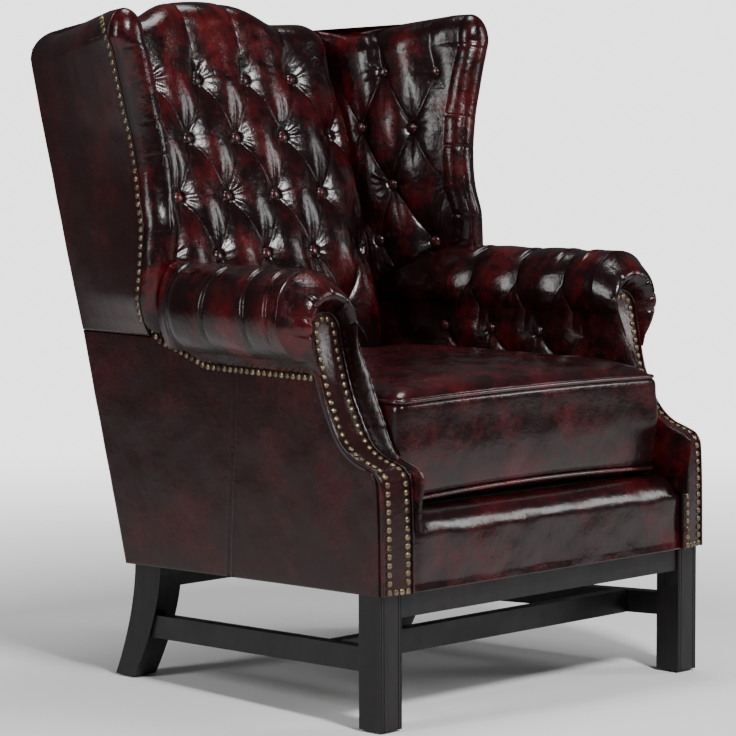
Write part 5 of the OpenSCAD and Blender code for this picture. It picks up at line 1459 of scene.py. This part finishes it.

# %% [markdown]
# ## Finishes, bodies and CAD nodes
# Every piece gets its finish, the body that it rides on and the CAD node that it stands for. Only the
# cushion and its two pipings ride on the body that slides out.

# %%
def finish(obj, mat, slot, *nodes, body="chair", fill=None):
    """One material, one body and the nodes replaced. The slot and the fill are not used."""
    obj.data.materials.clear()
    obj.data.materials.append(mat)
    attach(obj, body)
    if nodes:
        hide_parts(*nodes)


tufted, side_hide, seat_hide = hides["tufted_leather"], hides["side_leather"], hides["cushion_leather"]
button_hide, pipe_hide = hides["button_leather"], hides["piping"]
finish(inside_back, tufted, "tufted_leather", "inside_back", fill=0.8)
finish(border, seat_hide, "cushion_leather", "front_border", fill=0.8)
finish(outside_back, side_hide, "side_leather", "outside_back")
finish(cushion, seat_hide, "cushion_leather", "seat_cushion", body="cushion", fill=0.8)
for pipe in pipings:
    finish(pipe, pipe_hide, "piping", pipe.name.split(".")[0], body="cushion")
finish(back_buttons, button_hide, "button_leather", "back_buttons")
for s, side in SIDES:
    finish(wings[s], tufted, "tufted_leather", side + "_inside_wing", fill=0.8)
    finish(arms[s], tufted, "tufted_leather", side + "_inside_arm", fill=0.8)
    finish(outside_wings[s], side_hide, "side_leather", side + "_outside_wing")
    finish(outside_arms[s], side_hide, "side_leather", side + "_outside_arm")
    finish(facings[s], side_hide, "cushion_leather", side + "_arm_facing")
    finish(facing_pipes[s], tufted, "piping")
    for label in ("wing", "arm"):
        finish(buttons[s, label], button_hide, "button_leather", f"{side}_{label}_buttons")
    for label in ("side", "facing"):
        finish(nails[s, label], brass, "nail_brass", f"{side}_{label}_nails")

print("pieces finished")

# %% [markdown]
# ### The CAD nodes that stay
# Wood, webbing, cloth and glides have the right shape already. They keep their meshes and only get a
# material.

# %%
kept = {"show_wood": stained, "frame_wood": beech, "webbing": jute, "cloth": black_cloth,
        "glide": glide_steel}
OUTER_WORDS = ("leg", "stretcher", "show", "webbing", "deck", "cover")
for name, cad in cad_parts.items():
    if cad.hide_render:
        continue
    if "leg_glides" in name:
        finish_name = "glide"
    elif "leg_dowels" in name or not any(word in name for word in OUTER_WORDS):
        finish_name = "frame_wood"
    elif "webbing" in name:
        finish_name = "webbing"
    elif "deck" in name or "cover" in name:
        finish_name = "cloth"
    else:
        finish_name = "show_wood"
    for i in range(max(1, len(cad.material_slots))):
        if cad.material_slots:
            cad.material_slots[i].material = kept[finish_name]
        else:
            cad.data.materials.append(kept[finish_name])
    print(name, finish_name)

# %% [markdown]
# ## Floor and light
# The floor is a large pale sheet that fades to white in the distance, as a paper backdrop does. The haze
# and the white world are for the camera's own rays only, so they don't wash out the dark leather.

# %%
PAPER_GLOW = 2.6
floor_mesh = bpy.data.meshes.new("floor")
r = 14.0
floor_mesh.from_pydata([(-r, -r, 0), (r, -r, 0), (r, r, 0), (-r, r, 0)], [], [(0, 1, 2, 3)])
floor = bpy.data.objects.new("floor", floor_mesh)
bpy.context.scene.collection.objects.link(floor)
floor_mat, tree, shader = material("floor")
shader.inputs["Base Color"].default_value = (0.82, 0.82, 0.82, 1)
shader.inputs["Roughness"].default_value = 0.6
seen = node(tree, "ShaderNodeLightPath").outputs["Is Camera Ray"]
far = node(tree, "ShaderNodeVectorMath", [(0, object_place(tree))], operation="LENGTH")
haze = times(tree, seen, span(tree, far.outputs["Value"], 0.8, 3.0))
glow = node(tree, "ShaderNodeEmission", [("Color", (1, 1, 1, 1)), ("Strength", PAPER_GLOW)])
paper = node(tree, "ShaderNodeMixShader", [(0, haze), (1, shader.outputs[0]), (2, glow.outputs[0])])
tree.links.new(paper.outputs[0], tree.nodes["Material Output"].inputs["Surface"])
floor_mesh.materials.append(floor_mat)
print("floor", 2 * r, "m across")

# %%
world = bpy.data.worlds.new("studio")
world.use_nodes = True
tree = world.node_tree
soft = tree.nodes["Background"]
soft.inputs["Color"].default_value = (0.93, 0.94, 1.0, 1)
soft.inputs["Strength"].default_value = 0.10
paper = node(tree, "ShaderNodeBackground", [("Color", (1, 1, 1, 1)), ("Strength", PAPER_GLOW)])
seen = node(tree, "ShaderNodeLightPath").outputs["Is Camera Ray"]
both = node(tree, "ShaderNodeMixShader", [(0, seen), (1, soft.outputs[0]), (2, paper.outputs[0])])
tree.links.new(both.outputs[0], tree.nodes["World Output"].inputs["Surface"])
bpy.context.scene.world = world
print("world", world.name)

# %% [markdown]
# ### Lamps
# Glossy leather shows its lamps, so they are few and not large: a small key high in front, a tall strip
# beside the chair for the long highlights, a fill on the other side and a weak top light.

# %%
def light(name, place, size, power, aim=(0, 0, 0.5)):
    """A rectangular area lamp at a place in metres, whose z axis points away from what it is aimed at."""
    data = bpy.data.lights.new(name, "AREA")
    data.shape, data.size, data.size_y = "RECTANGLE", size[0], size[1]
    data.energy = power
    lamp = bpy.data.objects.new(name, data)
    bpy.context.scene.collection.objects.link(lamp)
    z = np.array(place, float) - aim
    z /= np.linalg.norm(z)
    x = np.cross([0, 0, 1], z)
    x /= np.linalg.norm(x)
    y = np.cross(z, x)
    lamp.matrix_world = [[x[0], x[1], x[2], 0], [y[0], y[1], y[2], 0], [z[0], z[1], z[2], 0], [*place, 1]]


light("key", (-1.0, -3.2, 3.4), (0.6, 0.6), 220)
light("side", (-4.2, 0.2, 2.2), (0.8, 2.2), 110)
light("fill", (3.2, -2.8, 2.0), (0.8, 1.6), 60)
light("top", (0.6, 0.4, 3.8), (1.2, 1.2), 60)
print("lamps", len(bpy.data.lights))
